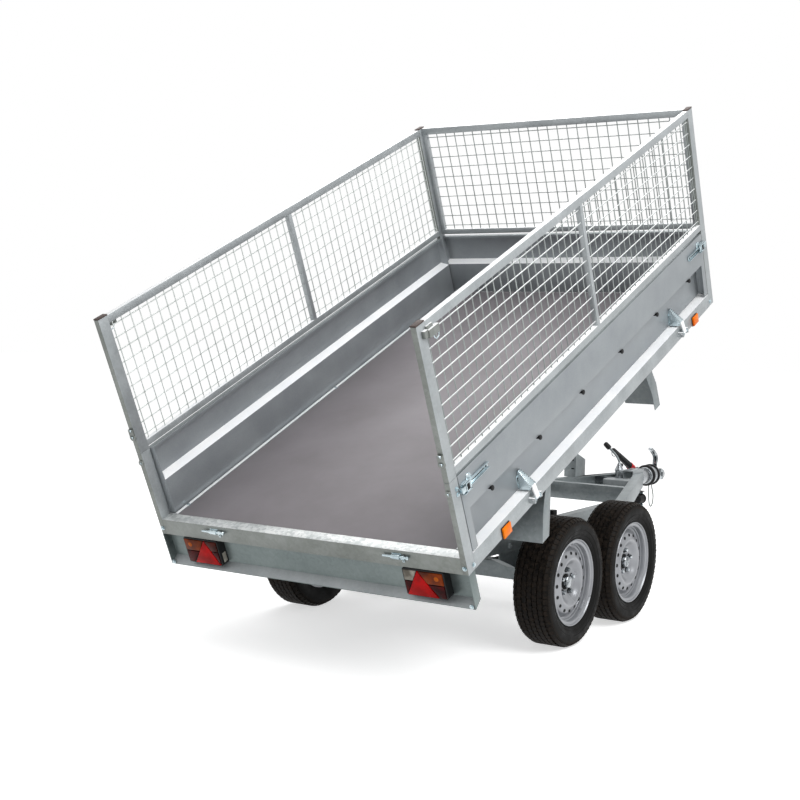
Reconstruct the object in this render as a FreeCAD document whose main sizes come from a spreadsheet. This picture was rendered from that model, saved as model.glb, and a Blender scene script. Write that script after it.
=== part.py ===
import FreeCAD
import Part
import Sketcher
import math
import os

# Tandem-axle tipping trailer with mesh sides, stood with its bed tipped.
# X points right, Y forward to the coupling, Z up. The origin is the centre of the ball socket.
# Chassis pieces are drawn over the ground, with Y counted from the middle between the axles.
# Bed pieces are drawn on the level bed: X across, Y from the rear face of the rear posts, Z from the floor.

doc = FreeCAD.newDocument("TippingTrailer")
sheet = doc.addObject("Spreadsheet::Sheet", "Sizes")
Vector = FreeCAD.Vector
sheetRow = 0


class Size:
    """A number together with the spreadsheet expression it comes from."""

    def __init__(self, value, text):
        self.value = float(value)
        self.text = text

    def __add__(self, other):
        return Size(self.value + plain(other), "(" + self.text + " + " + words(other) + ")")

    def __radd__(self, other):
        return Size(plain(other) + self.value, "(" + words(other) + " + " + self.text + ")")

    def __sub__(self, other):
        return Size(self.value - plain(other), "(" + self.text + " - " + words(other) + ")")

    def __rsub__(self, other):
        return Size(plain(other) - self.value, "(" + words(other) + " - " + self.text + ")")

    def __mul__(self, other):
        return Size(self.value * plain(other), "(" + self.text + " * " + words(other) + ")")

    def __rmul__(self, other):
        return Size(plain(other) * self.value, "(" + words(other) + " * " + self.text + ")")

    def __truediv__(self, other):
        return Size(self.value / plain(other), "(" + self.text + " / " + words(other) + ")")

    def __neg__(self):
        return Size(-self.value, "(0 - " + self.text + ")")


def plain(number):
    if isinstance(number, Size):
        return number.value
    return float(number)


def words(number):
    if isinstance(number, Size):
        return number.text
    if number < 0:
        return "(0 - " + repr(abs(float(number))) + ")"
    return repr(float(number))


def size(alias, value):
    global sheetRow
    sheetRow += 1
    sheet.set("A" + str(sheetRow), alias)
    sheet.set("B" + str(sheetRow), str(value))
    sheet.setAlias("B" + str(sheetRow), alias)
    return Size(value, "Sizes." + alias)


# Bed
bedLength = size("bedLength", 2729)
bedWidth = size("bedWidth", 1594)
postDepth = size("postDepth", 58)
postWidth = size("postWidth", 25)
boardTop = size("boardTop", 328)
boardStep = size("boardStep", 170)
boardRecess = size("boardRecess", 49)
stepSlope = size("stepSlope", 14)
dripLip = size("dripLip", 9)
boardBand = size("boardBand", 41)
boardTaper = size("boardTaper", 8)
boardLip = size("boardLip", 14)
sheetWall = size("sheetWall", 3)
movingGap = size("movingGap", 5)
meshTop = size("meshTop", 961)
meshRail = size("meshRail", 35)
meshWidth = size("meshWidth", 25)
meshSeam = size("meshSeam", 9)
strutWidth = size("strutWidth", 25)
wireThick = size("wireThick", 4)
wirePitch = size("wirePitch", 57)
meshEnd = size("meshEnd", 25)
strutShift = size("strutShift", 29.5)
capHeight = size("capHeight", 6)
railDrop = size("railDrop", 76)
railLedge = size("railLedge", 8)
railWall = size("railWall", 4)
railFlange = size("railFlange", 40)
floorThick = size("floorThick", 15)
floorStrip = size("floorStrip", 12)
crossWidth = size("crossWidth", 40)
crossCount = size("crossCount", 6)
beamDrop = size("beamDrop", 234)
beamDepth = size("beamDepth", 48)
beamSlope = size("beamSlope", 22)
subWidth = size("subWidth", 40)
subHeight = size("subHeight", 104)
subWall = size("subWall", 4)
lampWide = size("lampWide", 195)
lampTall = size("lampTall", 128)
lampDepth = size("lampDepth", 42)
lampInset = size("lampInset", 216)
markerLong = size("markerLong", 70)
markerTall = size("markerTall", 50)
markerDepth = size("markerDepth", 11)
markerEnd = size("markerEnd", 318)
guardThick = size("guardThick", 3)
guardInset = size("guardInset", 7)
guardWide = size("guardWide", 184)

seatGap = size("seatGap", 0.3)

# Board hinges, latches and knobs
boardAxisOut = size("boardAxisOut", 18)
boardAxisDrop = size("boardAxisDrop", 45)
boardPin = size("boardPin", 6)
boardKnuckle = size("boardKnuckle", 13)
runningGap = size("runningGap", 0.05)
hingeRear = size("hingeRear", 570)
hingeFrontInset = size("hingeFrontInset", 467)
hingeWide = size("hingeWide", 48)
hingeTall = size("hingeTall", 78)
hingeTip = size("hingeTip", 22)
lugThick = size("lugThick", 9)
latchLong = size("latchLong", 200)
latchWide = size("latchWide", 24)
latchLow = size("latchLow", 246)
latchTall = size("latchTall", 46)
latchCase = size("latchCase", 62)
latchDeep = size("latchDeep", 18)
knobRadius = size("knobRadius", 9)
knobCount = size("knobCount", 6)
knobFirst = size("knobFirst", 277)
knobLast = size("knobLast", 292)

gatePin = size("gatePin", 6)
gateLong = size("gateLong", 62)
gateRight = size("gateRight", 319)
gateLeft = size("gateLeft", 325)

# Tipping
hingeAlong = size("hingeAlong", 456)
hingeUnder = size("hingeUnder", 160)
hingeY = size("hingeY", -844.9)
hingeZ = size("hingeZ", 580.8)
tipAngle = size("tipAngle", 23.34)
tipMost = size("tipMost", 45)
hingePin = size("hingePin", 12)
hingeBush = size("hingeBush", 20)
earThick = size("earThick", 8)

# Chassis
chassisInset = size("chassisInset", 312)
chassisFlange = size("chassisFlange", 50)
chassisTop = size("chassisTop", 510)
chassisTall = size("chassisTall", 95)
chassisWall = size("chassisWall", 4)
chassisBehind = size("chassisBehind", 25)
chassisBend = size("chassisBend", 865)
drawbarMeet = size("drawbarMeet", 43.5)
drawbarBack = size("drawbarBack", 330)
housingHalf = size("housingHalf", 38)
crossBack = size("crossBack", 1116)
crossDepth = size("crossDepth", 50)
axleBeamRear = size("axleBeamRear", 491)
axleBeamFront = size("axleBeamFront", 640)
axleBeamTall = size("axleBeamTall", 90)

# Wheels and axles
axleSpacing = size("axleSpacing", 634)
tyreRadius = size("tyreRadius", 292)
tyreWidth = size("tyreWidth", 178)
tyreInset = size("tyreInset", 10)
beadRadius = size("beadRadius", 177)
flangeRadius = size("flangeRadius", 195)
rimHalf = size("rimHalf", 77)
rimWall = size("rimWall", 4)
discHoles = size("discHoles", 16)
stubRadius = size("stubRadius", 20)
axleTube = size("axleTube", 80)
armTrail = size("armTrail", 140)
axleZ = size("axleZ", 285)
armThick = size("armThick", 30)
brakeInset = size("brakeInset", 155)

# Cylinder
cylinderBehind = size("cylinderBehind", 84)
cylinderUnder = size("cylinderUnder", 301.5)
cylinderPinDrop = size("cylinderPinDrop", 125)
barrelRadius = size("barrelRadius", 52)
stageWall = size("stageWall", 7.5)
stageGap = size("stageGap", 0.09)
cylinderPin = size("cylinderPin", 12)
eyeSlack = size("eyeSlack", 7.5)
cradlePlate = size("cradlePlate", 8)

# Drawbar fittings
ballY = size("ballY", 2470)
ballZ = size("ballZ", 455)
ballRadius = size("ballRadius", 25.4)
tubeZ = size("tubeZ", 473)
sleeveRadius = size("sleeveRadius", 48)
bellowsRadius = size("bellowsRadius", 67)
bellowsFold = size("bellowsFold", 17)
bellowsLong = size("bellowsLong", 114)
housingLong = size("housingLong", 262)
housingBack = size("housingBack", 208)
housingTop = size("housingTop", 528)
housingLow = size("housingLow", 425)
housingOver = size("housingOver", 10)
leverBack = size("leverBack", 238)
leverZ = size("leverZ", 508)
leverLean = size("leverLean", 64.7)
leverLong = size("leverLong", 368)
leverOut = size("leverOut", 60)
leverPlate = size("leverPlate", 46)
collarRadius = size("collarRadius", 24)
bracketBack = size("bracketBack", 848)
bracketLong = size("bracketLong", 130)
bracketTall = size("bracketTall", 140)
tankBack = size("tankBack", 780)
tankLong = size("tankLong", 100)
plugBack = size("plugBack", 548)
jockeyBack = size("jockeyBack", 600)
jockeyTube = size("jockeyTube", 24)
jockeyWheel = size("jockeyWheel", 100)
jockeyTrail = size("jockeyTrail", 35)
cableRadius = size("cableRadius", 3)

doc.recompute()

halfWidth = bedWidth / 2
halfAxle = axleSpacing / 2
railTopZ = -railLedge
hingeFront = bedLength - hingeFrontInset
knobPitch = (bedLength - knobFirst - knobLast) / (knobCount - 1)
lampPlace = halfWidth - lampInset
guardOuter = halfWidth - guardInset
guardInner = guardOuter - guardWide
tyreOut = halfWidth - tyreInset
chassisOut = halfWidth - chassisInset
drawbarFront = ballY - drawbarBack
frontCross = ballY - crossBack
jockeyY = ballY - jockeyBack
housingFront = ballY - housingBack
housingRear = housingFront - housingLong
cylinderBaseY = armTrail - cylinderBehind
cylinderBaseZ = hingeZ - cylinderUnder
cylinderAhead = cylinderBaseY - hingeY
pi = math.pi


# Small builders. Sizes are bound to the spreadsheet, places follow the same values.

def bind(thing, name, number):
    if isinstance(number, Size):
        thing.setExpression(name, number.text)
    setattr(thing, name, plain(number))


def block(name, x0, x1, y0, y1, z0, z1):
    thing = doc.addObject("Part::Box", name)
    bind(thing, "Length", x1 - x0)
    bind(thing, "Width", y1 - y0)
    bind(thing, "Height", z1 - z0)
    thing.Placement.Base = Vector(plain(x0), plain(y0), plain(z0))
    return thing


turns = {
    "X": FreeCAD.Rotation(Vector(0, 1, 0), 90),
    "Y": FreeCAD.Rotation(Vector(1, 0, 0), -90),
    "Z": FreeCAD.Rotation(),
}


def rod(name, axis, x, y, z, radius, length):
    thing = doc.addObject("Part::Cylinder", name)
    bind(thing, "Radius", radius)
    bind(thing, "Height", length)
    thing.Placement = FreeCAD.Placement(Vector(plain(x), plain(y), plain(z)), turns[axis])
    return thing


def join(name, things):
    result = doc.addObject("Part::MultiFuse", name)
    result.Shapes = things
    return result


def carve(name, base, tools):
    result = doc.addObject("Part::Cut", name)
    result.Base = base
    result.Tool = tools[0] if len(tools) == 1 else join(name + "Tools", tools)
    return result


def plane(body, role):
    for feature in body.Origin.OriginFeatures:
        if feature.Role == role:
            return feature


def outline(body, role, points, offset=0):
    # A closed outline of straight lines, each corner held by two dimensions from the origin.
    sketch = body.newObject("Sketcher::SketchObject", body.Name + "Outline")
    sketch.AttachmentSupport = (plane(body, role), [""])
    sketch.MapMode = "FlatFace"
    sketch.AttachmentOffset = FreeCAD.Placement(Vector(0, 0, plain(offset)), FreeCAD.Rotation())
    count = len(points)
    corners = [Vector(plain(a), plain(b), 0) for a, b in points]
    lines = [Part.LineSegment(corners[i], corners[(i + 1) % count]) for i in range(count)]
    sketch.addGeometry(lines, False)
    sketch.addConstraint([Sketcher.Constraint("Coincident", i, 2, (i + 1) % count, 1) for i in range(count)])
    for i in range(count):
        for kind, number in (("DistanceX", points[i][0]), ("DistanceY", points[i][1])):
            value = plain(number)
            if value < 0:
                index = sketch.addConstraint(Sketcher.Constraint(kind, i, 1, -1, 1, -value))
                number = -number
            else:
                index = sketch.addConstraint(Sketcher.Constraint(kind, -1, 1, i, 1, value))
            if isinstance(number, Size):
                sketch.setExpression("Constraints[" + str(index) + "]", number.text)
    return sketch


def prism(name, role, points, start, length):
    # YZ outlines run along +X from start, XY outlines along +Z, XZ outlines along +Y.
    body = doc.addObject("PartDesign::Body", name)
    offset = -start if role == "XZ_Plane" else start
    sketch = outline(body, role, points, offset)
    pad = body.newObject("PartDesign::Pad", name + "Pad")
    pad.Profile = sketch
    bind(pad, "Length", length)
    pad.Reversed = role == "XZ_Plane"
    sketch.Visibility = False
    return body


def turned(name, points):
    # Points are (along X, radius); the outline turns once around the X axis.
    body = doc.addObject("PartDesign::Body", name)
    sketch = outline(body, "XY_Plane", points)
    spin = body.newObject("PartDesign::Revolution", name + "Turn")
    spin.Profile = sketch
    spin.ReferenceAxis = (sketch, ["H_Axis"])
    spin.Angle = 360
    sketch.Visibility = False
    return body


def bentRod(name, route, radius):
    # A round rod along straight runs joined by tangent arcs.
    edges = []
    here = route[0]
    for n in range(1, len(route) - 1):
        before = route[n] - route[n - 1]
        after = route[n + 1] - route[n]
        half = before.getAngle(after) / 2
        trim = 0.45 * min(before.Length, after.Length)
        bend = trim / math.tan(half)
        print(name, "bend", n, "radius", round(bend, 1), "run", round(before.Length, 1))
        into = route[n] - Vector(before).normalize() * trim
        out = route[n] + Vector(after).normalize() * trim
        inward = (Vector(after).normalize() - Vector(before).normalize()).normalize()
        middle = route[n] + inward * (bend / math.cos(half) - bend)
        edges.append(Part.LineSegment(here, into).toShape())
        edges.append(Part.Arc(into, middle, out).toShape())
        here = out
    edges.append(Part.LineSegment(here, route[-1]).toShape())
    ring = Part.Wire([Part.makeCircle(radius, route[0], route[1] - route[0])])
    tube = Part.Wire(edges).makePipeShell([ring], True, True)
    return tube if tube.ShapeType == "Solid" else tube.Solids[0]


pieces = {}
ground = FreeCAD.Placement(Vector(0, -plain(ballY), -plain(ballZ)), FreeCAD.Rotation())
tilt = FreeCAD.Rotation(Vector(1, 0, 0), plain(tipAngle))
hingePoint = Vector(0, plain(hingeY), plain(hingeZ))
hingeOnBed = Vector(0, plain(hingeAlong), -plain(hingeUnder))
bed = ground.multiply(FreeCAD.Placement(hingePoint - tilt.multVec(hingeOnBed), tilt))


def piece(label, thing, frame):
    # Names a finished piece and moves it from its drawing place into the trailer.
    thing.Label = label
    thing.Placement = frame.multiply(thing.Placement)
    pieces[label] = thing
    return thing


def shaped(label, shape, frame):
    thing = doc.addObject("Part::Feature", label.replace("_", " ").title().replace(" ", ""))
    thing.Shape = shape
    thing.Placement = frame
    thing.Label = label
    pieces[label] = thing
    return thing


# Bed frame: a side rail each side, a rear sill, a front beam, cross members and two sub-frame beams.

lugFace = halfWidth + boardAxisOut


def sideRail(side, label):
    # C-section with an outer ledge for the board to stand over and a lip beside the floor.
    outer = halfWidth
    inner = halfWidth - boardRecess - sheetWall - movingGap - railWall
    points = [
        (outer, railTopZ), (outer, -railDrop), (outer - railFlange, -railDrop),
        (outer - railFlange, railWall - railDrop), (outer - railWall, railWall - railDrop),
        (outer - railWall, railTopZ - railWall), (inner, railTopZ - railWall),
        (inner, 0), (inner - floorStrip, 0), (inner - floorStrip, sheetWall),
        (inner + railWall, sheetWall), (inner + railWall, railTopZ),
    ]
    if side < 0:
        points = [(-a, b) for a, b in points]
    rail = prism(label.replace("_", ""), "XZ_Plane", points, postDepth, bedLength - postDepth * 2)
    parts = [rail]
    for n, along in enumerate((hingeRear, hingeFront)):
        tag = label.replace("_", "") + str(n)
        half = hingeWide / 2 + 2
        for k, start in enumerate((along - half - lugThick, along + half)):
            x0 = halfWidth if side > 0 else -lugFace - 10
            x1 = lugFace + 10 if side > 0 else -halfWidth
            parts.append(block(tag + "Lug" + str(k), x0, x1, start, start + lugThick,
                               -boardAxisDrop - 12, 12 - boardAxisDrop))
        pinStart = along - half - lugThick - 3
        parts.append(rod(tag + "Pin", "Y", side * plain(lugFace), pinStart, -boardAxisDrop, boardPin,
                         half * 2 + lugThick * 2 + 6))
    piece(label, join(label.replace("_", "") + "Whole", parts), bed)


sideRail(1, "side_rail_right")
sideRail(-1, "side_rail_left")

sill = prism("RearSill", "YZ_Plane", [
    (0, 0), (postDepth, 0), (postDepth, -railWall), (railWall, -railWall),
    (railWall, railWall - railDrop), (postDepth - 10, railWall - railDrop), (postDepth - 10, -railDrop),
    (0, -railDrop)], postWidth - halfWidth, bedWidth - postWidth * 2)
piece("rear_sill", sill, bed)

frontBeam = prism("FrontBeam", "YZ_Plane", [
    (bedLength, -railLedge), (bedLength, -railDrop), (bedLength - postDepth, -railDrop),
    (bedLength - postDepth, railWall - railDrop), (bedLength - railWall, railWall - railDrop),
    (bedLength - railWall, -railLedge - railWall), (bedLength - postDepth, -railLedge - railWall),
    (bedLength - postDepth, -railLedge)], postWidth - halfWidth, bedWidth - postWidth * 2)
piece("front_beam", frontBeam, bed)

subOut = chassisOut - movingGap
subParts = []
for side, name in ((1, "Right"), (-1, "Left")):
    x0 = side * plain(subOut) if side < 0 else plain(subOut - subWidth)
    subStart = beamDepth + 8
    subEnd = bedLength - postDepth - 30
    low = -railDrop - subHeight
    tube = block("Sub" + name, x0, subWidth + x0, subStart, subEnd, low, -railDrop)
    hollow = block("SubHollow" + name, subWall + x0, subWidth + x0 - subWall, subStart - 1, subEnd + 1,
                   low + subWall, -railDrop - subWall)
    shell = carve("SubShell" + name, tube, [hollow])
    bush = rod("SubBush" + name, "X", x0, hingeAlong, -hingeUnder, hingeBush - 0.5, subWidth)
    solid = join("SubSolid" + name, [shell, bush])
    bore = rod("SubBore" + name, "X", x0 - 1, hingeAlong, -hingeUnder, hingePin + runningGap, subWidth + 2)
    subParts.append(carve("SubBeam" + name, solid, [bore]))
piece("sub_frame", join("SubFrame", subParts), bed)

# Cross members under the floor; one pair of ears under them holds the cylinder's upper pin.
cylinderReach = math.hypot(plain(cylinderAhead), plain(cylinderUnder))
pinAlong = hingeAlong + math.sqrt(cylinderReach ** 2 - plain(hingeUnder - cylinderPinDrop) ** 2)
crossParts = []
innerHalf = halfWidth - railFlange - 2
crossSpan = bedLength - postDepth * 2 - 100
for n in range(int(plain(crossCount))):
    start = postDepth + 30 + crossSpan * n / (crossCount - 1)
    member = block("Cross" + str(n), -innerHalf, innerHalf, start, start + crossWidth, -railDrop, -floorThick)
    hollow = block("CrossHollow" + str(n), -innerHalf - 1, innerHalf + 1, start + 3, start + crossWidth + 1,
                   railWall - railDrop, -floorThick - 3)
    crossParts.append(carve("CrossShell" + str(n), member, [hollow]))
carrier = block("PinCarrier", -subOut + subWidth, subOut - subWidth, pinAlong - 30, pinAlong + 30,
                -railDrop - 4, -railDrop - 0)
earParts = [carrier]
for side in (1, -1):
    x0 = 22 if side > 0 else -30
    earParts.append(prism("PinEar" + ("R" if side > 0 else "L"), "YZ_Plane", [
        (pinAlong - 30, -railDrop), (pinAlong + 30, -railDrop), (pinAlong + 18, -cylinderPinDrop - 18),
        (pinAlong - 18, -cylinderPinDrop - 18)], x0, 8))
earParts.append(rod("PinUpper", "X", -34, pinAlong, -cylinderPinDrop, cylinderPin, 68))
piece("cross_members", join("CrossMembers", crossParts + earParts), bed)

floorHalf = halfWidth - boardRecess - sheetWall - movingGap - railWall
floorPlate = block("FloorPlate", -floorHalf, floorHalf, postDepth, bedLength - postDepth,
                   -floorThick, 0)
piece("floor", floorPlate, bed)

# Boards: outer sheet, pressed-in lower half under a sloping step, folded top and end flanges.


def boardShape(name, long, start):
    # Drawn along X from start, outward is +Y with the outer face at Y = 0.
    deep = boardRecess + sheetWall
    topDeep = meshWidth + sheetWall
    sheetPart = block(name + "Sheet", start, start + long, -sheetWall, 0, -2, boardTop)
    press = prism(name + "Press", "YZ_Plane", [
        (0, -2), (-deep, -2), (-deep, boardStep), (-sheetWall, boardStep + stepSlope), (0, boardStep + stepSlope)],
        start, long)
    topFlange = block(name + "Top", start, start + long, -topDeep, 0, boardTop - sheetWall, boardTop)
    lip = block(name + "Lip", start, start + long, -topDeep, sheetWall - topDeep, boardTop - boardLip, boardTop)
    ends = []
    for tag, x0 in (("A", start), ("B", start + long - sheetWall)):
        ends.append(prism(name + "End" + tag, "YZ_Plane", [
            (0, -2), (-deep, -2), (-deep, boardStep + stepSlope), (boardTaper - deep, boardTop), (0, boardTop)],
            x0, sheetWall))
    whole = join(name + "Solid", [sheetPart, press, topFlange, lip] + ends)
    inside = prism(name + "Inside", "YZ_Plane", [
        (-sheetWall, -4), (-boardRecess, -4), (-boardRecess, boardStep - sheetWall),
        (-sheetWall, boardStep + dripLip)], start + sheetWall, long - sheetWall * 2)
    window = block(name + "Window", start + boardBand, start + long - boardBand, -sheetWall - 1, 2, -4, boardStep)
    return carve(name, whole, [inside, window])


boardLong = bedLength - postDepth * 2 - movingGap * 2
alongRight = FreeCAD.Placement(Vector(plain(halfWidth), 0, 0), FreeCAD.Rotation(Vector(0, 0, 1), -90))
alongLeft = FreeCAD.Placement(Vector(-plain(halfWidth), 0, 0), FreeCAD.Rotation(Vector(0, 0, 1), 90))
alongFront = FreeCAD.Placement(Vector(0, plain(bedLength) - 2, 0), FreeCAD.Rotation())
rightBoard = boardShape("BoardRight", boardLong, movingGap + postDepth - bedLength)
piece("side_board_right", rightBoard, bed.multiply(alongRight))
leftBoard = boardShape("BoardLeft", boardLong, postDepth + movingGap)
piece("side_board_left", leftBoard, bed.multiply(alongLeft))
frontLong = bedWidth - postWidth * 2
frontBoard = boardShape("BoardFront", frontLong, postWidth - halfWidth)
piece("front_board", frontBoard, bed.multiply(alongFront))

# Fittings on each side board: two hinge brackets over their pins and two over-centre latches.


def boardFittings(side, label):
    parts = []
    gap = runningGap
    recessFace = halfWidth - boardRecess
    axisX = halfWidth + boardAxisOut
    for n, along in enumerate((hingeRear, hingeFront)):
        tag = label.replace("_", "") + str(n)
        start = along - hingeWide / 2
        points = [
            (recessFace, -2), (recessFace, hingeTall), (recessFace + 8, hingeTall), (axisX - 6, 14),
            (axisX + boardKnuckle, -boardAxisDrop), (axisX - boardKnuckle, -boardAxisDrop),
            (halfWidth + movingGap, -2)]
        if side < 0:
            points = [(-a, b) for a, b in points]
        web = prism(tag + "Web", "XZ_Plane", points, start, hingeWide)
        sideCuts = []
        for cutTag, at, way in (("A", start, 1), ("B", start + hingeWide, -1)):
            narrow = (hingeWide - hingeTip) / 2
            cut = prism(tag + "Taper" + cutTag, "YZ_Plane", [
                (at - way, 12), (at + way * narrow, hingeTall + 1), (at - way, hingeTall + 1)],
                -lugFace - 20 if side < 0 else recessFace - 5, lugFace + 25 - recessFace)
            sideCuts.append(cut)
        knuckle = rod(tag + "Knuckle", "Y", side * plain(axisX), start, -boardAxisDrop, boardKnuckle, hingeWide)
        solid = join(tag + "Solid", [web, knuckle])
        bore = rod(tag + "Bore", "Y", side * plain(axisX), start - 1, -boardAxisDrop, boardPin + gap,
                   hingeWide + 2)
        parts.append(carve(tag + "Bracket", solid, [bore] + sideCuts))
    edge = postDepth + movingGap + 3
    for n, (end, way) in enumerate(((edge, 1), (bedLength - edge, -1))):
        tag = label.replace("_", "") + "Latch" + str(n)
        x0 = halfWidth if side > 0 else -halfWidth - latchDeep
        y0 = end if way > 0 else end - latchCase
        case = block(tag + "Case", x0, x0 + latchDeep, y0, y0 + latchCase, latchLow, latchLow + latchTall)
        x1 = halfWidth if side > 0 else -halfWidth - latchDeep + 4
        y1 = end + 10 if way > 0 else end - 10 - latchLong
        middle = latchLow + latchTall / 2
        lever = block(tag + "Lever", x1, x1 + latchDeep - 4, y1, y1 + latchLong, middle - latchWide / 2,
                      middle + latchWide / 2)
        parts.append(join(tag, [case, lever]))
    piece(label, join(label.replace("_", "") + "All", parts), bed)


boardFittings(1, "board_fittings_right")
boardFittings(-1, "board_fittings_left")


def ropeKnobs(side, label):
    parts = []
    for n in range(int(plain(knobCount))):
        along = knobFirst + knobPitch * n
        name = label.replace("_", "") + str(n)
        x0 = plain(halfWidth) - 18 if side > 0 else -plain(halfWidth) - 10
        stem = rod(name + "Stem", "X", x0, along, boardStep - knobRadius - seatGap, knobRadius, 28)
        parts.append(stem)
    piece(label, join(label.replace("_", "") + "All", parts), bed)


# Posts at the corners, in a lower and an upper length, with plastic caps.
lowerPosts = []
upperPosts = []
caps = []
seam = boardTop + 3
for sideName, x0 in (("Right", halfWidth - postWidth), ("Left", -halfWidth)):
    for endName, y0 in (("Rear", 0), ("Front", bedLength - postDepth)):
        tag = sideName + endName
        lower = block("Lower" + tag, x0, x0 + postWidth, y0, y0 + postDepth, -railDrop, seam)
        upper = block("Upper" + tag, x0, x0 + postWidth, y0, y0 + postDepth, seam, meshTop)
        lowParts = [lower]
        upParts = [upper]
        lugX = x0 + postWidth - 1 if sideName == "Right" else x0 - 14
        if endName == "Rear":
            lowParts.append(block("LowerLug" + tag, lugX, lugX + 15, 4, 26, 262, 284))
            upParts.append(block("UpperLug" + tag, lugX, lugX + 15, 4, 26, 395, 417))
        lowerPosts.append(join("LowerPost" + tag, lowParts) if len(lowParts) > 1 else lower)
        upperPosts.append(join("UpperPost" + tag, upParts) if len(upParts) > 1 else upper)
        caps.append(block("Cap" + tag, x0 - 1, x0 + postWidth + 1, y0 - 1, y0 + postDepth + 1,
                          meshTop, meshTop + capHeight))
piece("lower_posts", join("LowerPosts", lowerPosts), bed)
piece("upper_posts", join("UpperPosts", upperPosts), bed)
piece("post_caps", join("PostCaps", caps), bed)

# Mesh panels: box rails top and bottom, end bars, crossing wires in two layers, a strut on the sides.


def meshPanel(label, long, start, frame, strut, upright):
    # Drawn along X from start; outer face at Y = 0, inner face at Y = -meshWidth.
    deep = plain(meshWidth)
    wire = plain(wireThick)
    pitch = plain(wirePitch)
    low = plain(boardTop + meshSeam)
    high = plain(meshTop)
    rail = plain(meshRail)
    x0 = plain(start)
    length = plain(long)
    parts = []
    corner = Vector(x0, -deep, low)
    frameShape = Part.makeBox(length, deep, rail, corner)
    parts.append(Part.makeBox(length, deep, rail, Vector(x0, -deep, high - rail)))
    mid = -deep / 2
    for end in (x0, x0 + length - (upright or wire)):
        parts.append(Part.makeBox(upright or wire, deep if upright else wire * 2 + 2, high - low - rail * 2 + 2,
                                  Vector(end, -deep if upright else mid - wire - 1, low + rail - 1)))
    if strut:
        wide = plain(strutWidth)
        parts.append(Part.makeBox(wide, deep, high - low - rail * 2 + 2,
                                  Vector(x0 + strut - wide / 2, -deep, low + rail - 1)))
    count = int((length - upright * 2 - wire) / pitch)
    first = (length - pitch * count) / 2
    for n in range(count + 1):
        place = first + pitch * n
        nearEnd = min(place, length - place) < upright + wire * 2
        if nearEnd or (strut and abs(place - strut) < plain(strutWidth) / 2 + wire):
            continue
        parts.append(Part.makeBox(wire, wire, high - low - rail * 2 + 2,
                                  Vector(x0 + place - wire / 2, mid - 1 - wire, low + rail - 1)))
    rows = int((high - low - rail * 2) / pitch)
    gap = (high - low - rail * 2 - pitch * rows) / 2
    for n in range(rows + 1):
        place = low + rail + gap + pitch * n
        if gap + pitch * n < wire or place > high - rail - wire:
            continue
        parts.append(Part.makeBox(length, wire, wire, Vector(x0, mid + 1, place - wire / 2)))
    panel = frameShape.multiFuse(parts)
    shaped(label, panel.removeSplitter().Solids[0], frame)


meshLong = bedLength - postDepth * 2
strutPlace = plain(meshLong / 2 + strutShift)
meshPanel("mesh_right", meshLong, postDepth - bedLength, bed.multiply(alongRight), plain(meshLong) - strutPlace, 0)
meshPanel("mesh_left", meshLong, postDepth, bed.multiply(alongLeft), strutPlace, 0)
alongFrontMesh = FreeCAD.Placement(Vector(0, plain(bedLength) - 6, 0), FreeCAD.Rotation())
meshPanel("mesh_front", frontLong, postWidth - halfWidth, bed.multiply(alongFrontMesh), 0, plain(meshEnd))

# Light beam: a folded tray under the sill with closed ends and a sloping bottom lip.
trayBack = prism("TrayBack", "YZ_Plane", [
    (beamDepth - sheetWall, -railDrop), (beamDepth, -railDrop), (beamDepth, beamSlope - beamDrop),
    (0, -beamDrop), (0, sheetWall - beamDrop), (beamDepth - sheetWall, beamSlope - beamDrop + sheetWall)],
    -halfWidth, bedWidth)
trayParts = [trayBack]
for n, x0 in enumerate((-halfWidth, halfWidth - sheetWall)):
    trayParts.append(prism("TrayEnd" + str(n), "YZ_Plane", [
        (0, -railDrop), (beamDepth, -railDrop), (beamDepth, beamSlope - beamDrop), (0, -beamDrop)],
        x0, sheetWall))
piece("light_beam", join("LightBeam", trayParts), bed)


def tailLamp(side, label):
    lampX = side * plain(lampPlace)
    wide = plain(lampWide)
    tall = plain(lampTall)
    x0 = lampX - wide / 2
    z0 = -plain(railDrop) - 4 - tall
    depth = plain(lampDepth)
    y0 = plain(beamDepth - sheetWall) - depth
    lamp = Part.makeBox(wide, depth, tall, Vector(x0, y0, z0))
    uprights = [edge for edge in lamp.Edges if abs(edge.Vertexes[0].Y - edge.Vertexes[1].Y) > depth / 2]
    lamp = lamp.makeFillet(7, uprights)
    front = [edge for edge in lamp.Edges if all(abs(v.Y - y0) < 0.01 for v in edge.Vertexes)]
    lamp = lamp.makeChamfer(2.5, front)
    shaped(label, lamp, bed)


tailLamp(1, "tail_lamp_right")
tailLamp(-1, "tail_lamp_left")

markers = []
for sideName, x0 in (("Right", halfWidth), ("Left", -halfWidth - markerDepth)):
    for endName, along in (("Rear", markerEnd), ("Front", bedLength - 279)):
        markers.append(block("Marker" + sideName + endName, x0, x0 + markerDepth, along - markerLong / 2,
                             along + markerLong / 2, -railDrop - 6, markerTall - railDrop - 6))
piece("side_markers", join("SideMarkers", markers), bed)

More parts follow.
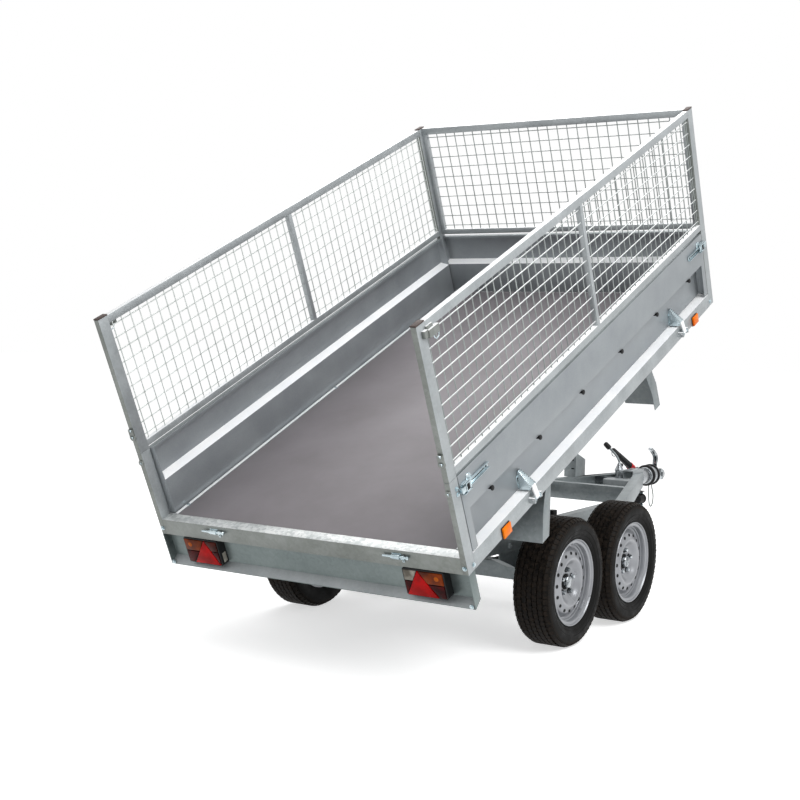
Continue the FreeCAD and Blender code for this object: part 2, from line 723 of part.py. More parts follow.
# Mudguards: a bent plate as wide as the tyre with a flat outer cheek, ahead of and behind the wheels.
guardTop = -railDrop - seatGap
rearPlate = [
    (741, guardTop), (651, -147), (591, -286), (594, -287), (654, -149), (745, guardTop)]
rearCheek = [(700, guardTop), (651, -147), (591, -286), (655, -286), (711, -168), (748, guardTop)]
frontPlate = [
    (1877, guardTop), (1912, -165), (1922, -286), (1925, -286), (1915, -164), (1881, guardTop)]
frontCheek = [(1808, guardTop), (1852, -200), (1862, -286), (1922, -286), (1912, -165), (1877, guardTop)]
guards = []
for sideName, way in (("Right", 1), ("Left", -1)):
    for endName, plate, cheek in (("Rear", rearPlate, rearCheek), ("Front", frontPlate, frontCheek)):
        tag = sideName + endName
        x0 = guardInner if way > 0 else -guardOuter
        bent = prism("GuardPlate" + tag, "YZ_Plane", plate, x0, guardOuter - guardInner)
        x1 = guardOuter - guardThick if way > 0 else -guardOuter
        side = prism("GuardCheek" + tag, "YZ_Plane", cheek, x1, guardThick)
        guards.append(join("Guard" + tag, [bent, side]))
piece("mudguards", join("Mudguards", guards), bed)

# Gate hinge pins on the sill and the mesh latches on two posts.
gateParts = []
for n, x in enumerate((gateLeft - halfWidth, halfWidth - gateRight)):
    gateParts.append(join("GateHinge" + str(n), [
        block("GateBlock" + str(n), x - 22, x + 22, -18, -seatGap, -37, -13),
        rod("GatePin" + str(n), "X", x - gateLong, -11, -24, gatePin, gateLong * 2)]))
latchParts = []
for n, x0 in enumerate((halfWidth + seatGap, -halfWidth - seatGap - 5)):
    plate = block("MeshLatch" + str(n), x0, x0 + 5, 50, 112, meshTop - 58, meshTop - 6)
    knuckle = block("MeshLatchEnd" + str(n), x0, x0 + 14 if n == 0 else x0 + 5, 30, 52, meshTop - 62, meshTop - 30)
    latchParts.append(join("MeshLatchSet" + str(n), [plate, knuckle]))
piece("gate_hinges_and_latches", join("GateHingesAndLatches", gateParts + latchParts), bed)

# Chassis rails: C-sections open inwards, with hinge ears and the tipping pin at the rear.


def channel(name, out, flange, top, tall, wall, start, long):
    # A C-section along Y with its web outermost; out is negative on the left.
    side = 1 if plain(out) > 0 else -1
    low = top - tall
    points = [
        (out, top), (out, low), (out - side * flange, low), (out - side * flange, low + wall),
        (out - side * wall, low + wall), (out - side * wall, top - wall),
        (out - side * flange, top - wall), (out - side * flange, top)]
    return prism(name, "XZ_Plane", points, start, long)


for side, label in ((1, "chassis_rail_right"), (-1, "chassis_rail_left")):
    tag = "Right" if side > 0 else "Left"
    rear = hingeY - chassisBehind
    web = channel("RailWeb" + tag, side * chassisOut, chassisFlange, chassisTop, chassisTall, chassisWall,
                  rear, chassisBend - rear)
    parts = [web]
    for n, inner in enumerate((chassisOut, chassisOut - chassisFlange - earThick)):
        x0 = inner if side > 0 else -inner - earThick
        parts.append(prism("Ear" + tag + str(n), "YZ_Plane", [
            (rear, chassisTop - 60), (rear, chassisTop), (hingeY - 22, hingeZ + 12), (hingeY - 10, hingeZ + 24),
            (hingeY + 10, hingeZ + 24), (hingeY + 26, hingeZ + 8), (hingeY + 75, chassisTop),
            (hingeY + 75, chassisTop - 60)], x0, earThick))
    x0 = chassisOut - chassisFlange - earThick - 6
    pinLong = chassisFlange + earThick * 2 + 12
    parts.append(rod("TipPin" + tag, "X", x0 if side > 0 else -x0 - pinLong, hingeY, hingeZ, hingePin, pinLong))
    piece(label, join("ChassisRail" + tag, parts), ground)

# Beams under the rails that carry both axles, cut off at a slant at each end.
beamParts = []
for side, tag in ((1, "Right"), (-1, "Left")):
    top = chassisTop - chassisTall
    low = top - axleBeamTall
    rear = -axleBeamRear
    points = [
        (rear, top), (rear, top - 27), (rear + 165, low), (axleBeamFront - 165, low),
        (axleBeamFront, top - 27), (axleBeamFront, top)]
    x0 = chassisOut - chassisFlange if side > 0 else -chassisOut
    solid = prism("AxleBeam" + tag, "YZ_Plane", points, x0, chassisFlange)
    hollow = [
        (rear - 2, top - chassisWall), (rear - 2, top - 24), (rear + 166, low + chassisWall),
        (axleBeamFront - 166, low + chassisWall), (axleBeamFront + 2, top - 24),
        (axleBeamFront + 2, top - chassisWall)]
    x1 = x0 - 1 if side > 0 else x0 + chassisWall
    inside = prism("AxleBeamInside" + tag, "YZ_Plane", hollow, x1, chassisFlange - chassisWall + 1)
    beamParts.append(carve("AxleBeamShell" + tag, solid, [inside]))
piece("axle_beams", join("AxleBeams", beamParts), ground)

# Drawbars: the same C-section turned in towards the coupling, trimmed at the rails and at the housing.
slantTan = plain(chassisOut - drawbarMeet) / plain(drawbarFront - chassisBend)
slant = math.degrees(math.atan(slantTan))
cosSlant = math.cos(math.radians(slant))


def innerDrawbar(y):
    # How far from the middle the inner edge of a drawbar lies at a given Y.
    return plain(chassisOut - chassisFlange / cosSlant - (y - chassisBend) * slantTan)


def drawbarWeb(y):
    # How far from the middle the inner face of a drawbar's web lies at a given Y.
    return innerDrawbar(y) + plain(chassisFlange - chassisWall) / cosSlant


for side, label in ((1, "drawbar_right"), (-1, "drawbar_left")):
    tag = "Right" if side > 0 else "Left"
    reach = (plain(drawbarFront) - plain(chassisBend)) / math.cos(math.radians(slant)) + 90
    web = channel("DrawbarWeb" + tag, side * chassisFlange, chassisFlange, chassisTop, chassisTall, chassisWall,
                  -40, reach)
    web.Placement = FreeCAD.Placement(
        Vector(side * plain(chassisOut - chassisFlange / math.cos(math.radians(slant))), plain(chassisBend), 0),
        FreeCAD.Rotation(Vector(0, 0, 1), side * slant))
    rearTrim = block("RearTrim" + tag, -700, 700, chassisBend - 300, chassisBend, 300, 600)
    noseTrim = block("NoseTrim" + tag, -300 if side > 0 else -housingHalf,
                     housingHalf if side > 0 else 300, housingRear - 500, ballY + 160, 300, 600)
    endTrim = block("EndTrim" + tag, -300, 300, drawbarFront, drawbarFront + 300, 300, 600)
    beam = carve("Drawbar" + tag, web, [rearTrim, noseTrim, endTrim])
    if side < 0:
        start = ballY - bracketBack
        end = start + bracketLong
        top = chassisTop + bracketTall
        x = -innerDrawbar(plain(start)) - 39
        foot = block("BracketFoot", x - 38, x + 38, start, end, chassisTop, chassisTop + 5)
        back = block("BracketBack", x - 38, x + 38, start, start + 5, chassisTop, top)
        cheeks = []
        for n, x1 in enumerate((x + 33, x - 38)):
            cheeks.append(prism("BracketCheek" + str(n), "YZ_Plane", [
                (start, chassisTop), (end, chassisTop), (end, top - 42), (start + 22, top), (start, top)],
                x1, 5))
        beam = join("DrawbarLeftSet", [beam, foot, back] + cheeks)
    piece(label, beam, ground)

# Chassis cross members; the two in the middle carry the cradle plates and the cylinder's lower pin.
baseAngle = -math.atan(plain(cylinderUnder) / plain(cylinderAhead))
pinAngle = math.asin(plain(hingeUnder - cylinderPinDrop) / cylinderReach)
baseY = cylinderBaseY
baseZ = cylinderBaseZ
inside = chassisOut - chassisFlange
memberHalf = chassisOut - chassisWall - seatGap
memberTop = chassisTop - chassisWall - seatGap
memberLow = chassisTop - chassisTall + chassisWall + seatGap
memberParts = [
    block("MemberRear", earThick - inside + seatGap, inside - earThick - seatGap, hingeY + 20, hingeY + 60,
          memberLow, memberTop)]
behind = baseY - 121
ahead = baseY + 94
for n, y in enumerate((behind - 40, ahead)):
    member = block("Member" + str(n), -memberHalf, memberHalf, y, y + 40, memberLow, memberTop)
    hollow = block("MemberHollow" + str(n), -memberHalf - 1, memberHalf + 1, y + 4 if n else y - 1,
                   y + 41 if n else y + 36, memberLow + 4, memberTop - 4)
    memberParts.append(carve("MemberShell" + str(n), member, [hollow]))
cradle = []
for side in (1, -1):
    x0 = 62 if side > 0 else -62 - cradlePlate
    cradle.append(prism("Cradle" + ("R" if side > 0 else "L"), "YZ_Plane", [
        (behind, memberTop), (ahead, memberTop), (ahead, memberLow),
        (baseY + 30, baseZ - 24), (baseY - 30, baseZ - 24), (behind, memberLow)], x0, cradlePlate))
cradle.append(rod("PinLower", "X", -76, baseY, baseZ, cylinderPin, 152))
innerAt = chassisOut - chassisFlange / cosSlant - (frontCross - chassisBend) * slantTan
innerEnd = innerAt - crossDepth * slantTan
frontOut = prism("FrontCrossOut", "XY_Plane", [
    (innerAt, frontCross), (innerEnd, frontCross + crossDepth), (-innerEnd, frontCross + crossDepth),
    (-innerAt, frontCross)], chassisTop - chassisTall, chassisTall)
frontIn = block("FrontCrossIn", -innerAt - 5, innerAt + 5, frontCross + chassisWall,
                frontCross + crossDepth + 1, chassisTop - chassisTall + chassisWall, chassisTop - chassisWall)
memberParts.append(carve("FrontCrossShell", frontOut, [frontIn]))
piece("chassis_cross_members", join("ChassisMembers", memberParts + cradle), ground)

rests = []
for side in (1, -1):
    rests.append(rod("Rest" + ("R" if side > 0 else "L"), "Z", side * plain(inside + 25), 80, chassisTop, 18, 36))
piece("bed_rests", join("BedRests", rests), ground)

# Axles: square tube, trailing arm, stub and brake plate each side, one welded piece.
for label, wheelY in (("axle_front", halfAxle), ("axle_rear", -halfAxle)):
    tag = "Front" if label.endswith("front") else "Rear"
    tubeY = wheelY + armTrail
    parts = [block("Tube" + tag, -chassisOut - 8, chassisOut + 8, tubeY - axleTube / 2, tubeY + axleTube / 2,
                   axleZ - axleTube / 2, axleZ + axleTube / 2)]
    for side in (1, -1):
        name = tag + ("R" if side > 0 else "L")
        x0 = chassisOut + 8 if side > 0 else -chassisOut - 8 - armThick
        parts.append(prism("Arm" + name, "YZ_Plane", [
            (tubeY + 40, axleZ - 34), (tubeY + 40, axleZ + 34), (tubeY - 30, axleZ + 38),
            (wheelY + 8, tyreRadius + 32), (wheelY - 26, tyreRadius + 22), (wheelY - 32, tyreRadius - 8),
            (wheelY - 18, tyreRadius - 30), (wheelY + 12, tyreRadius - 34)], x0, armThick))
        stubFrom = chassisOut + 8 if side > 0 else -tyreOut + 70
        stubLong = tyreOut - chassisOut - 78
        parts.append(rod("Stub" + name, "X", stubFrom, wheelY, tyreRadius, stubRadius, stubLong))
        plateX = tyreOut - brakeInset if side > 0 else brakeInset - tyreOut - 5
        parts.append(rod("BrakePlate" + name, "X", plateX, wheelY, tyreRadius, 112, 5))
    piece(label, join("Axle" + tag, parts), ground)

# Wheels. The tyre sits on the bead seats outside the rim; the rim carries disc, drum, nuts and cap.
half = tyreWidth / 2
seat = beadRadius + 1
for label, side, wheelY in (("front_right", 1, halfAxle), ("rear_right", 1, -halfAxle),
                            ("front_left", -1, halfAxle), ("rear_left", -1, -halfAxle)):
    tag = label.replace("_", " ").title().replace(" ", "")
    centre = tyreOut - half
    spot = FreeCAD.Placement(Vector(side * plain(centre), plain(wheelY), plain(tyreRadius)),
                             FreeCAD.Rotation(Vector(0, 0, 1), 0 if side > 0 else 180))
    tyre = turned("Tyre" + tag, [
        (14 - rimHalf, seat), (5 - rimHalf, flangeRadius + 3), (-half + 3, 222), (-half, 246),
        (4 - half, 270), (18 - half, tyreRadius - 5), (32 - half, tyreRadius), (half - 32, tyreRadius),
        (half - 18, tyreRadius - 5), (half - 4, 270), (half, 246), (half - 3, 222),
        (rimHalf - 5, flangeRadius + 3), (rimHalf - 14, seat)])
    piece("tyre_" + label, tyre, ground.multiply(spot))
    rim = turned("Rim" + tag, [
        (-rimHalf, flangeRadius), (5 - rimHalf, flangeRadius), (9 - rimHalf, beadRadius),
        (-40, beadRadius), (-26, 160), (14, 160), (32, beadRadius), (rimHalf - 9, beadRadius),
        (rimHalf - 5, flangeRadius), (rimHalf, flangeRadius), (rimHalf - 4, beadRadius - rimWall),
        (36, beadRadius - rimWall), (24, 152), (39, 138), (50, 112), (50, 102), (34, 84), (32, 30),
        (46, 30), (46, 0), (-20, 0), (-20, 30), (28, 30), (28, 86), (44, 104), (44, 110),
        (33, 135), (14, 156), (-26, 156), (-41, beadRadius - rimWall), (4 - rimHalf, beadRadius - rimWall)])
    drum = rod("Drum" + tag, "X", -58, 0, 0, 104, 85)
    nuts = []
    for n in range(5):
        turn = 2 * pi * n / 5 + 0.3
        nuts.append(rod("Nut" + tag + str(n), "X", 28, 56 * math.cos(turn), 56 * math.sin(turn), 10, 22))
    stub = rod("HubBore" + tag, "X", -100, 0, 0, stubRadius + runningGap, 130)
    holes = []
    for n in range(int(plain(discHoles))):
        turn = 2 * pi * n / plain(discHoles)
        hole = doc.addObject("Part::Prism", "DiscHole" + tag + str(n))
        hole.Polygon = 6
        hole.Circumradius = 7
        hole.Height = 60
        hole.Placement = FreeCAD.Placement(Vector(10, 128 * math.cos(turn), 128 * math.sin(turn)), turns["X"])
        holes.append(hole)
    whole = join("Wheel" + tag, [rim, drum] + nuts)
    piece("rim_" + label, carve("RimWhole" + tag, whole, [stub] + holes), ground.multiply(spot))

# Telescopic cylinder from the cradle to the bed: barrel, two stages and a ram with a slotted eye.
reach = cylinderReach
closedTurn = pinAngle - baseAngle
nowTurn = closedTurn + math.radians(plain(tipAngle))
mostTurn = closedTurn + math.radians(plain(tipMost))
lengthClosed = 2 * reach * math.sin(closedTurn / 2)
lengthNow = 2 * reach * math.sin(nowTurn / 2)
lengthMost = 2 * reach * math.sin(mostTurn / 2)
slope = (lengthMost - lengthClosed) / math.radians(plain(tipMost))
chordNow = lengthClosed + slope * math.radians(plain(tipAngle))
shift = (lengthNow - chordNow) / 2
fitClosed = lengthClosed + shift
stroke = slope * math.radians(plain(tipAngle)) / 3
pinNow = bed.multVec(Vector(0, plain(pinAlong), -plain(cylinderPinDrop)))
baseNow = ground.multVec(Vector(0, plain(baseY), plain(baseZ)))
run = pinNow - baseNow
upright = FreeCAD.Placement(baseNow, FreeCAD.Rotation(Vector(0, 0, 1), run))


def sleeve(name, low, high, radius, wall):
    tube = rod(name + "Out", "Z", 0, 0, low, radius, high - low)
    bore = rod(name + "In", "Z", 0, 0, low + 8, radius - wall, high - low)
    return carve(name, tube, [bore])


def piled(placement, distance):
    along = placement.Rotation.multVec(Vector(0, 0, distance))
    return FreeCAD.Placement(placement.Base + along, placement.Rotation)


barrelTube = sleeve("BarrelTube", 26, 300, barrelRadius, stageWall)
barrelFoot = block("BarrelFoot", -28, 28, -22, 22, -22, 34)
barrelSolid = join("BarrelSolid", [barrelTube, barrelFoot])
barrelBore = rod("BarrelBore", "X", -40, 0, 0, cylinderPin + runningGap, 80)
piece("cylinder_barrel", carve("CylinderBarrel", barrelSolid, [barrelBore]), upright)
radiusOne = barrelRadius - stageWall - stageGap
stageOne = sleeve("StageOne", 38, 308, radiusOne, stageWall)
piece("cylinder_stage_one", stageOne, piled(upright, stroke))
radiusTwo = radiusOne - stageWall - stageGap
stageTwo = sleeve("StageTwo", 50, 315, radiusTwo, stageWall)
piece("cylinder_stage_two", stageTwo, piled(upright, stroke * 2))
ramRadius = radiusTwo - stageWall - stageGap
ramRod = rod("RamRod", "Z", 0, 0, 62, ramRadius, fitClosed - 62 - 45)
slack = plain(eyeSlack)
eyeEnd = fitClosed + slack + 24
eyePlate = prism("EyePlate", "YZ_Plane", [
    (-23, fitClosed - 62), (23, fitClosed - 62), (23, eyeEnd - 10), (12, eyeEnd), (-12, eyeEnd),
    (-23, eyeEnd - 10)], -16, 32)
slotHalf = slack + cylinderPin + 0.5
slot = block("EyeSlot", -20, 20, -cylinderPin - 0.5, cylinderPin + 0.5, fitClosed - slotHalf, fitClosed + slotHalf)
ram = carve("RamWhole", join("RamSolid", [ramRod, eyePlate]), [slot])
piece("cylinder_ram", ram, piled(upright, stroke * 3))

# Overrun housing on the drawbars, bellows, coupling head and its raised handle.
boxFront = drawbarFront + housingOver
leverY = ballY - leverBack
housingBox = block("HousingBox", -housingHalf, housingHalf, housingRear, boxFront, housingLow, housingTop)
housingInside = block("HousingInside", -housingHalf + 5, housingHalf - 5, housingRear - 1, boxFront - 12,
                      housingLow - 5, housingTop - 5)
housingShell = carve("HousingShell", housingBox, [housingInside])
sleeveStart = drawbarFront + seatGap
sleeveTube = rod("SleeveTube", "Y", 0, sleeveStart, tubeZ, sleeveRadius, housingFront - seatGap - sleeveStart)
leverSeat = block("LeverSeat", -leverPlate, 6 - leverPlate, leverY - 20, leverY + 25, tubeZ, housingTop)
sleeveBore = rod("SleeveBore", "Y", 0, sleeveStart - 1, tubeZ, 29, housingFront - sleeveStart + 2)
housing = carve("Housing", join("HousingSolid", [housingShell, sleeveTube, leverSeat]), [sleeveBore])
piece("overrun_housing", housing, ground)

tip = plain(bellowsRadius)
root = tip - plain(bellowsFold)
bellows = turned("Bellows", [
    (0, 30), (0, root), (6, root), (14, tip), (26, tip), (38, root), (76, root), (87, tip),
    (99, tip), (108, root - 6), (bellowsLong, root - 10), (bellowsLong, 30)])
bellowsSpot = FreeCAD.Placement(Vector(0, plain(housingFront), plain(tubeZ)), FreeCAD.Rotation(Vector(0, 0, 1), 90))
piece("bellows", bellows, ground.multiply(bellowsSpot))

shaftStart = sleeveStart + 40
neckStart = housingFront + bellowsLong + seatGap
shaft = rod("CouplingShaft", "Y", 0, shaftStart, tubeZ, 28.5, neckStart + 20 - shaftStart)
neck = prism("CouplingNeck", "YZ_Plane", [
    (neckStart, ballZ - 12), (neckStart, ballZ + 45), (ballY - 70, ballZ + 57), (ballY, ballZ + 48),
    (ballY + 34, ballZ + 33), (ballY + 44, ballZ + 15), (ballY + 42, ballZ - 3), (ballY + 30, ballZ - 14),
    (ballY - 35, ballZ - 16), (ballY - 70, ballZ - 12)], -33, 66)
bell = rod("CouplingBell", "Z", 0, ballY, ballZ - 21, 39, 56)
handle = prism("HandleArm", "YZ_Plane", [
    (ballY - 52, ballZ + 44), (ballY - 36, ballZ + 46), (ballY - 34, ballZ + 84), (ballY - 22, ballZ + 104),
    (ballY - 24, ballZ + 122), (ballY - 40, ballZ + 146), (ballY - 78, ballZ + 170), (ballY - 122, ballZ + 190),
    (ballY - 130, ballZ + 178), (ballY - 88, ballZ + 154), (ballY - 60, ballZ + 134),
    (ballY - 49, ballZ + 112), (ballY - 54, ballZ + 86)], -12, 24)
couplingSolid = join("CouplingSolid", [shaft, neck, bell, handle])
socket = rod("Socket", "Z", 0, ballY, ballZ - 40, ballRadius, 51)
piece("coupling_head", carve("CouplingHead", couplingSolid, [socket]), ground)

# Handbrake lever on the left of the housing.
leverSpot = FreeCAD.Placement(Vector(-plain(leverOut), plain(leverY), plain(leverZ)),
                              FreeCAD.Rotation(Vector(1, 0, 0), plain(leverLean)))
grip = doc.addObject("Part::Cone", "BrakeGrip")
grip.Radius1 = 22
grip.Radius2 = 14
bind(grip, "Height", leverLong - 70)
grip.Placement.Base = Vector(0, 0, 70)
arm = rod("BrakeArm", "Z", 0, 0, 0, 10, 80)
hubA = rod("BrakeHub", "X", -12, 0, 0, 20, leverOut + 12 - leverPlate - seatGap)
collar = rod("BrakeCollar", "Z", 0, 0, 34, collarRadius, 42)
brake = join("Handbrake", [grip, arm, hubA, collar])
brake.Placement = leverSpot
piece("handbrake", brake, ground)

# Hydraulic tank between the drawbars, with rounded corners.
tankY = plain(ballY - tankBack)
tankShape = Part.makeBox(172, plain(tankLong), 66, Vector(-30, tankY, 438))
tankEdges = [edge for edge in tankShape.Edges if abs(edge.Vertexes[0].Z - edge.Vertexes[1].Z) > 30]
tankShape = tankShape.makeFillet(28, tankEdges)
tabEnd = drawbarWeb(tankY + 16) - plain(seatGap)
tankTab = Part.makeBox(tabEnd - 80, 6, 40, Vector(80, tankY + 10, 450))
shaped("pump_tank", tankShape.fuse(tankTab).removeSplitter().Solids[0], ground)

# Jockey stand: outer tube with clamp plate and crank, sliding inner tube, fork and wheel.
jockeyX = 0
outerTube = rod("JockeyOuter", "Z", jockeyX, jockeyY, 312, jockeyTube, 238)
outerBore = rod("JockeyBore", "Z", jockeyX, jockeyY, 300, jockeyTube - 2.5, 235)
outer = carve("JockeyOuterTube", outerTube, [outerBore])
plateHalf = drawbarWeb(plain(jockeyY) - 22) - plain(seatGap)
clampPlate = block("JockeyPlate", -plateHalf, plateHalf, jockeyY - 34, jockeyY - 22, 432, 500)
crankPath = [Vector(0, plain(jockeyY), 540), Vector(0, plain(jockeyY), 598), Vector(-20, plain(jockeyY), 632),
             Vector(-76, plain(jockeyY), 682)]
crankRod = doc.addObject("Part::Feature", "CrankRod")
crankRod.Shape = bentRod("crank", crankPath, 6.5)
crankKnob = rod("CrankKnob", "Z", 0, 0, -4, 16, 48)
crankKnob.Placement = FreeCAD.Placement(Vector(-68, plain(jockeyY), 674), FreeCAD.Rotation(Vector(0, 1, 0), -48.2))
piece("jockey_outer", join("JockeyOuterSet", [outer, clampPlate, crankRod, crankKnob]), ground)

innerRadius = jockeyTube - 2.5 - 0.08
innerTube = rod("JockeyInner", "Z", jockeyX, jockeyY, 216, innerRadius, 190)
pivotBore = rod("PivotBore", "Z", jockeyX, jockeyY, 200, 10 + runningGap, 60)
piece("jockey_inner", carve("JockeyInnerTube", innerTube, [pivotBore]), ground)
forkY = jockeyY - jockeyTrail
forkTop = block("ForkTop", -34, 34, jockeyY - 46, jockeyY + 26, 205, 213)
forkPivot = rod("ForkPivot", "Z", jockeyX, jockeyY, 205, 10, 50)
forkParts = [forkTop, forkPivot]
for side in (1, -1):
    forkParts.append(prism("ForkCheek" + ("R" if side > 0 else "L"), "YZ_Plane", [
        (jockeyY - 46, 213), (jockeyY + 26, 213), (forkY + 14, jockeyWheel - 14), (forkY - 14, jockeyWheel - 14)],
        30 if side > 0 else -34, 4))
forkParts.append(rod("ForkPin", "X", -38, forkY, jockeyWheel, 8, 76))
piece("jockey_fork", join("JockeyFork", forkParts), ground)
wheelProfile = [(-24, 8 + runningGap), (-24, 30), (-12, 34), (-12, 70), (-22, 76), (-22, jockeyWheel - 6),
                (-14, jockeyWheel), (14, jockeyWheel), (22, jockeyWheel - 6), (22, 76), (12, 70), (12, 34),
                (24, 30), (24, 8 + runningGap)]
smallWheel = turned("JockeyWheel", wheelProfile)
smallSpot = FreeCAD.Placement(Vector(0, plain(forkY), plain(jockeyWheel)), FreeCAD.Rotation())
piece("jockey_wheel", smallWheel, ground.multiply(smallSpot))

# Parked plug on a bracket under the right drawbar.
plugY = ballY - plugBack
plugX = innerDrawbar(plain(plugY)) + 34
plugHolder = block("PlugHolder", plugX - 12, plugX + 22, plugY + 8, plugY + 68, 411, chassisTop - chassisTall - seatGap)
plugStem = block("PlugStem", plugX - 4, plugX + 4, plugY + 28, plugY + 38, 380, 412)
plugBody = rod("PlugBody", "Y", plugX, plugY, 366, 27, 62)
plugCap = rod("PlugCap", "Y", plugX, plugY + 62, 366, 31, 12)
piece("parked_plug", join("ParkedPlug", [plugHolder, plugStem, plugBody, plugCap]), ground)


cableRoute = [
    Vector(18, -13, -0.5), Vector(20, -9, -33), Vector(20, 11, -73), Vector(20, 31, -115),
    Vector(21, 25, -157), Vector(22, -3, -187), Vector(23, -35, -169), Vector(22, -47, -125),
    Vector(19, -43, -79), Vector(13, -31, -35), Vector(8, -25, -0.5)]
cableStart = Vector(-30, plain(ballY) - 60, plain(ballZ) - 12.4)
cableRoute = [cableStart + point for point in cableRoute]
shaped("breakaway_cable", bentRod("cable", cableRoute, plain(cableRadius)), ground)

ropeKnobs(1, "rope_knobs_right")
ropeKnobs(-1, "rope_knobs_left")

# Every object is built and checked before anything is written.
doc.recompute()
faults = []
for thing in doc.Objects:
    if "Invalid" in thing.State or "Error" in thing.State:
        faults.append(thing.Name + " " + str(thing.State))
for label, thing in pieces.items():
    if thing.Shape.isNull() or not thing.Shape.isValid() or not thing.Shape.Solids:
        faults.append(label + " has no valid shape")
if faults:
    raise RuntimeError("; ".join(faults))
os.makedirs("parts", exist_ok=True)
for label, thing in pieces.items():
    thing.Shape.exportStep("parts/" + label + ".step")
    box = thing.Shape.BoundBox
    print(label, len(thing.Shape.Solids), "solids", round(thing.Shape.Volume / 1000), "cm3",
          [round(v) for v in (box.XMin, box.XMax, box.YMin, box.YMax, box.ZMin, box.ZMax)])
print("pieces", len(pieces))
print("cylinder stroke at rest", stroke, "slope m per rad", slope / 3000, "axis", run, "base", baseNow)
print("hinge", ground.multVec(hingePoint))
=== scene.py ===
import bmesh
import bpy
import math
from mathutils import Matrix, Vector


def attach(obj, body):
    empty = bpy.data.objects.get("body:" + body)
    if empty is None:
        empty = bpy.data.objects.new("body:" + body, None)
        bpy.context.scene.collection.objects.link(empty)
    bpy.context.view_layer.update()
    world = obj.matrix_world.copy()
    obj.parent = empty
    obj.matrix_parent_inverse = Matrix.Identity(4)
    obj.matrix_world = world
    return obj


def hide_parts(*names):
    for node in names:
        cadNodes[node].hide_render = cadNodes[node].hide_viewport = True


# A galvanised tandem-axle tipping trailer with mesh sides, its bed tipped and its gate taken off.
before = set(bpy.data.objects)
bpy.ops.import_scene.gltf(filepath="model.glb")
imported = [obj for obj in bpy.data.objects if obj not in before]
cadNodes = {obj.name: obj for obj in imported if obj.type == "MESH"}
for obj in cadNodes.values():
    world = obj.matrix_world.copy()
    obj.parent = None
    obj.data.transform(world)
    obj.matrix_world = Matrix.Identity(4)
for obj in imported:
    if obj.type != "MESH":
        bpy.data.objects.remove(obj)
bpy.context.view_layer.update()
print("frame loaded with", len(cadNodes), "nodes")

# Everything below is drawn in millimetres, on the level bed or over the ground, then moved into the frame.
places = {
    "hinge": (0, -3314.9, 125.8),
    "tilt": 23.34,
    "hingeOnBed": (0, 456, -160),
    "ballY": 2470,
    "ballZ": 455,
}
millimetre = Matrix.Scale(0.001, 4)
bedSpace = (millimetre @ Matrix.Translation(places["hinge"])
            @ Matrix.Rotation(math.radians(places["tilt"]), 4, "X")
            @ Matrix.Translation([-v for v in places["hingeOnBed"]]))
groundSpace = millimetre @ Matrix.Translation((0, -places["ballY"], -places["ballZ"]))
groundBody = "chassis"
bedBody = "bed"
quarter = math.pi / 2


# Materials, each with its pattern's real size in millimetres

grains = {
    "zincCloud": 160, "plasticCloud": 30, "filmDust": 420, "filmCrumb": 95, "filmWire": 6, "lensCloud": 55,
}


def linearColour(tone):
    # From sRGB hex text or from one level of grey.
    if not isinstance(tone, str):
        return (tone, tone, tone, 1.0)
    parts = [int(tone[i:i + 2], 16) / 255 for i in (1, 3, 5)]
    linear = [v / 12.92 if v <= 0.04045 else ((v + 0.055) / 1.055) ** 2.4 for v in parts]
    return (*linear, 1.0)


def feed(node, given):
    # A lower-case name is one of the node's settings. Any other is an input, by name or by number as i0, and
    # takes a plain value, a socket to link or a node's first output.
    for name, value in given.items():
        numbered = name[0] == "i" and name[1:].isdigit()
        if name.islower() and not numbered:
            setattr(node, name, value)
            continue
        socket = node.inputs[int(name[1:]) if numbered else name]
        if isinstance(value, bpy.types.Node):
            value = value.outputs[0]
        if isinstance(value, bpy.types.NodeSocket):
            node.id_data.links.new(value, socket)
        else:
            socket.default_value = value


def addNode(tree, kind, stops=(), **given):
    # One node with its settings, its links and, on a colour ramp, its stops: a place and a tone each.
    node = tree.nodes.new(kind)
    while stops and len(node.color_ramp.elements) < len(stops):
        node.color_ramp.elements.new(0.5)
    for n, (place, tone) in enumerate(stops):
        node.color_ramp.elements[n].position = place
        node.color_ramp.elements[n].color = tone if isinstance(tone, tuple) else linearColour(tone)
    feed(node, given)
    return node


def startMaterial(name):
    material = bpy.data.materials.new(name)
    material.use_nodes = True
    tree = material.node_tree
    place = addNode(tree, "ShaderNodeTexCoord").outputs["Object"]
    return material, tree, tree.nodes["Principled BSDF"], place


def galvanised(name, dark, light, metal, rough, spangle=9.0, contrast=0.14):
    # Hot-dip galvanised steel: flat zinc crystals a few millimetres across, each a little lighter or darker,
    # over broad soft clouds where the zinc ran and dulled. Turned and chromed steel have wider marks.
    material, tree, shader, place = startMaterial(name)
    crystals = addNode(tree, "ShaderNodeTexVoronoi", feature="F1", Vector=place, Scale=1000 / spangle)
    cloud = addNode(tree, "ShaderNodeTexNoise", Vector=place, Scale=1000 / grains["zincCloud"],
                    Detail=5.0, Roughness=0.55)
    grain = addNode(tree, "ShaderNodeSeparateColor", i0=crystals.outputs["Color"])
    soft = addNode(tree, "ShaderNodeMath", operation="MULTIPLY", i0=cloud, i1=1 - contrast)
    mixed = addNode(tree, "ShaderNodeMath", operation="MULTIPLY_ADD", i0=grain, i1=contrast, i2=soft)
    feed(shader, {
        "Base Color": addNode(tree, "ShaderNodeValToRGB", [(0.3, dark), (0.68, light)], Fac=mixed),
        "Roughness": addNode(tree, "ShaderNodeValToRGB", [(0.3, rough[0]), (0.7, rough[1])], Fac=mixed),
        "Metallic": metal,
        "Normal": addNode(tree, "ShaderNodeBump", Strength=0.035, Distance=0.001, Height=cloud)})
    return material


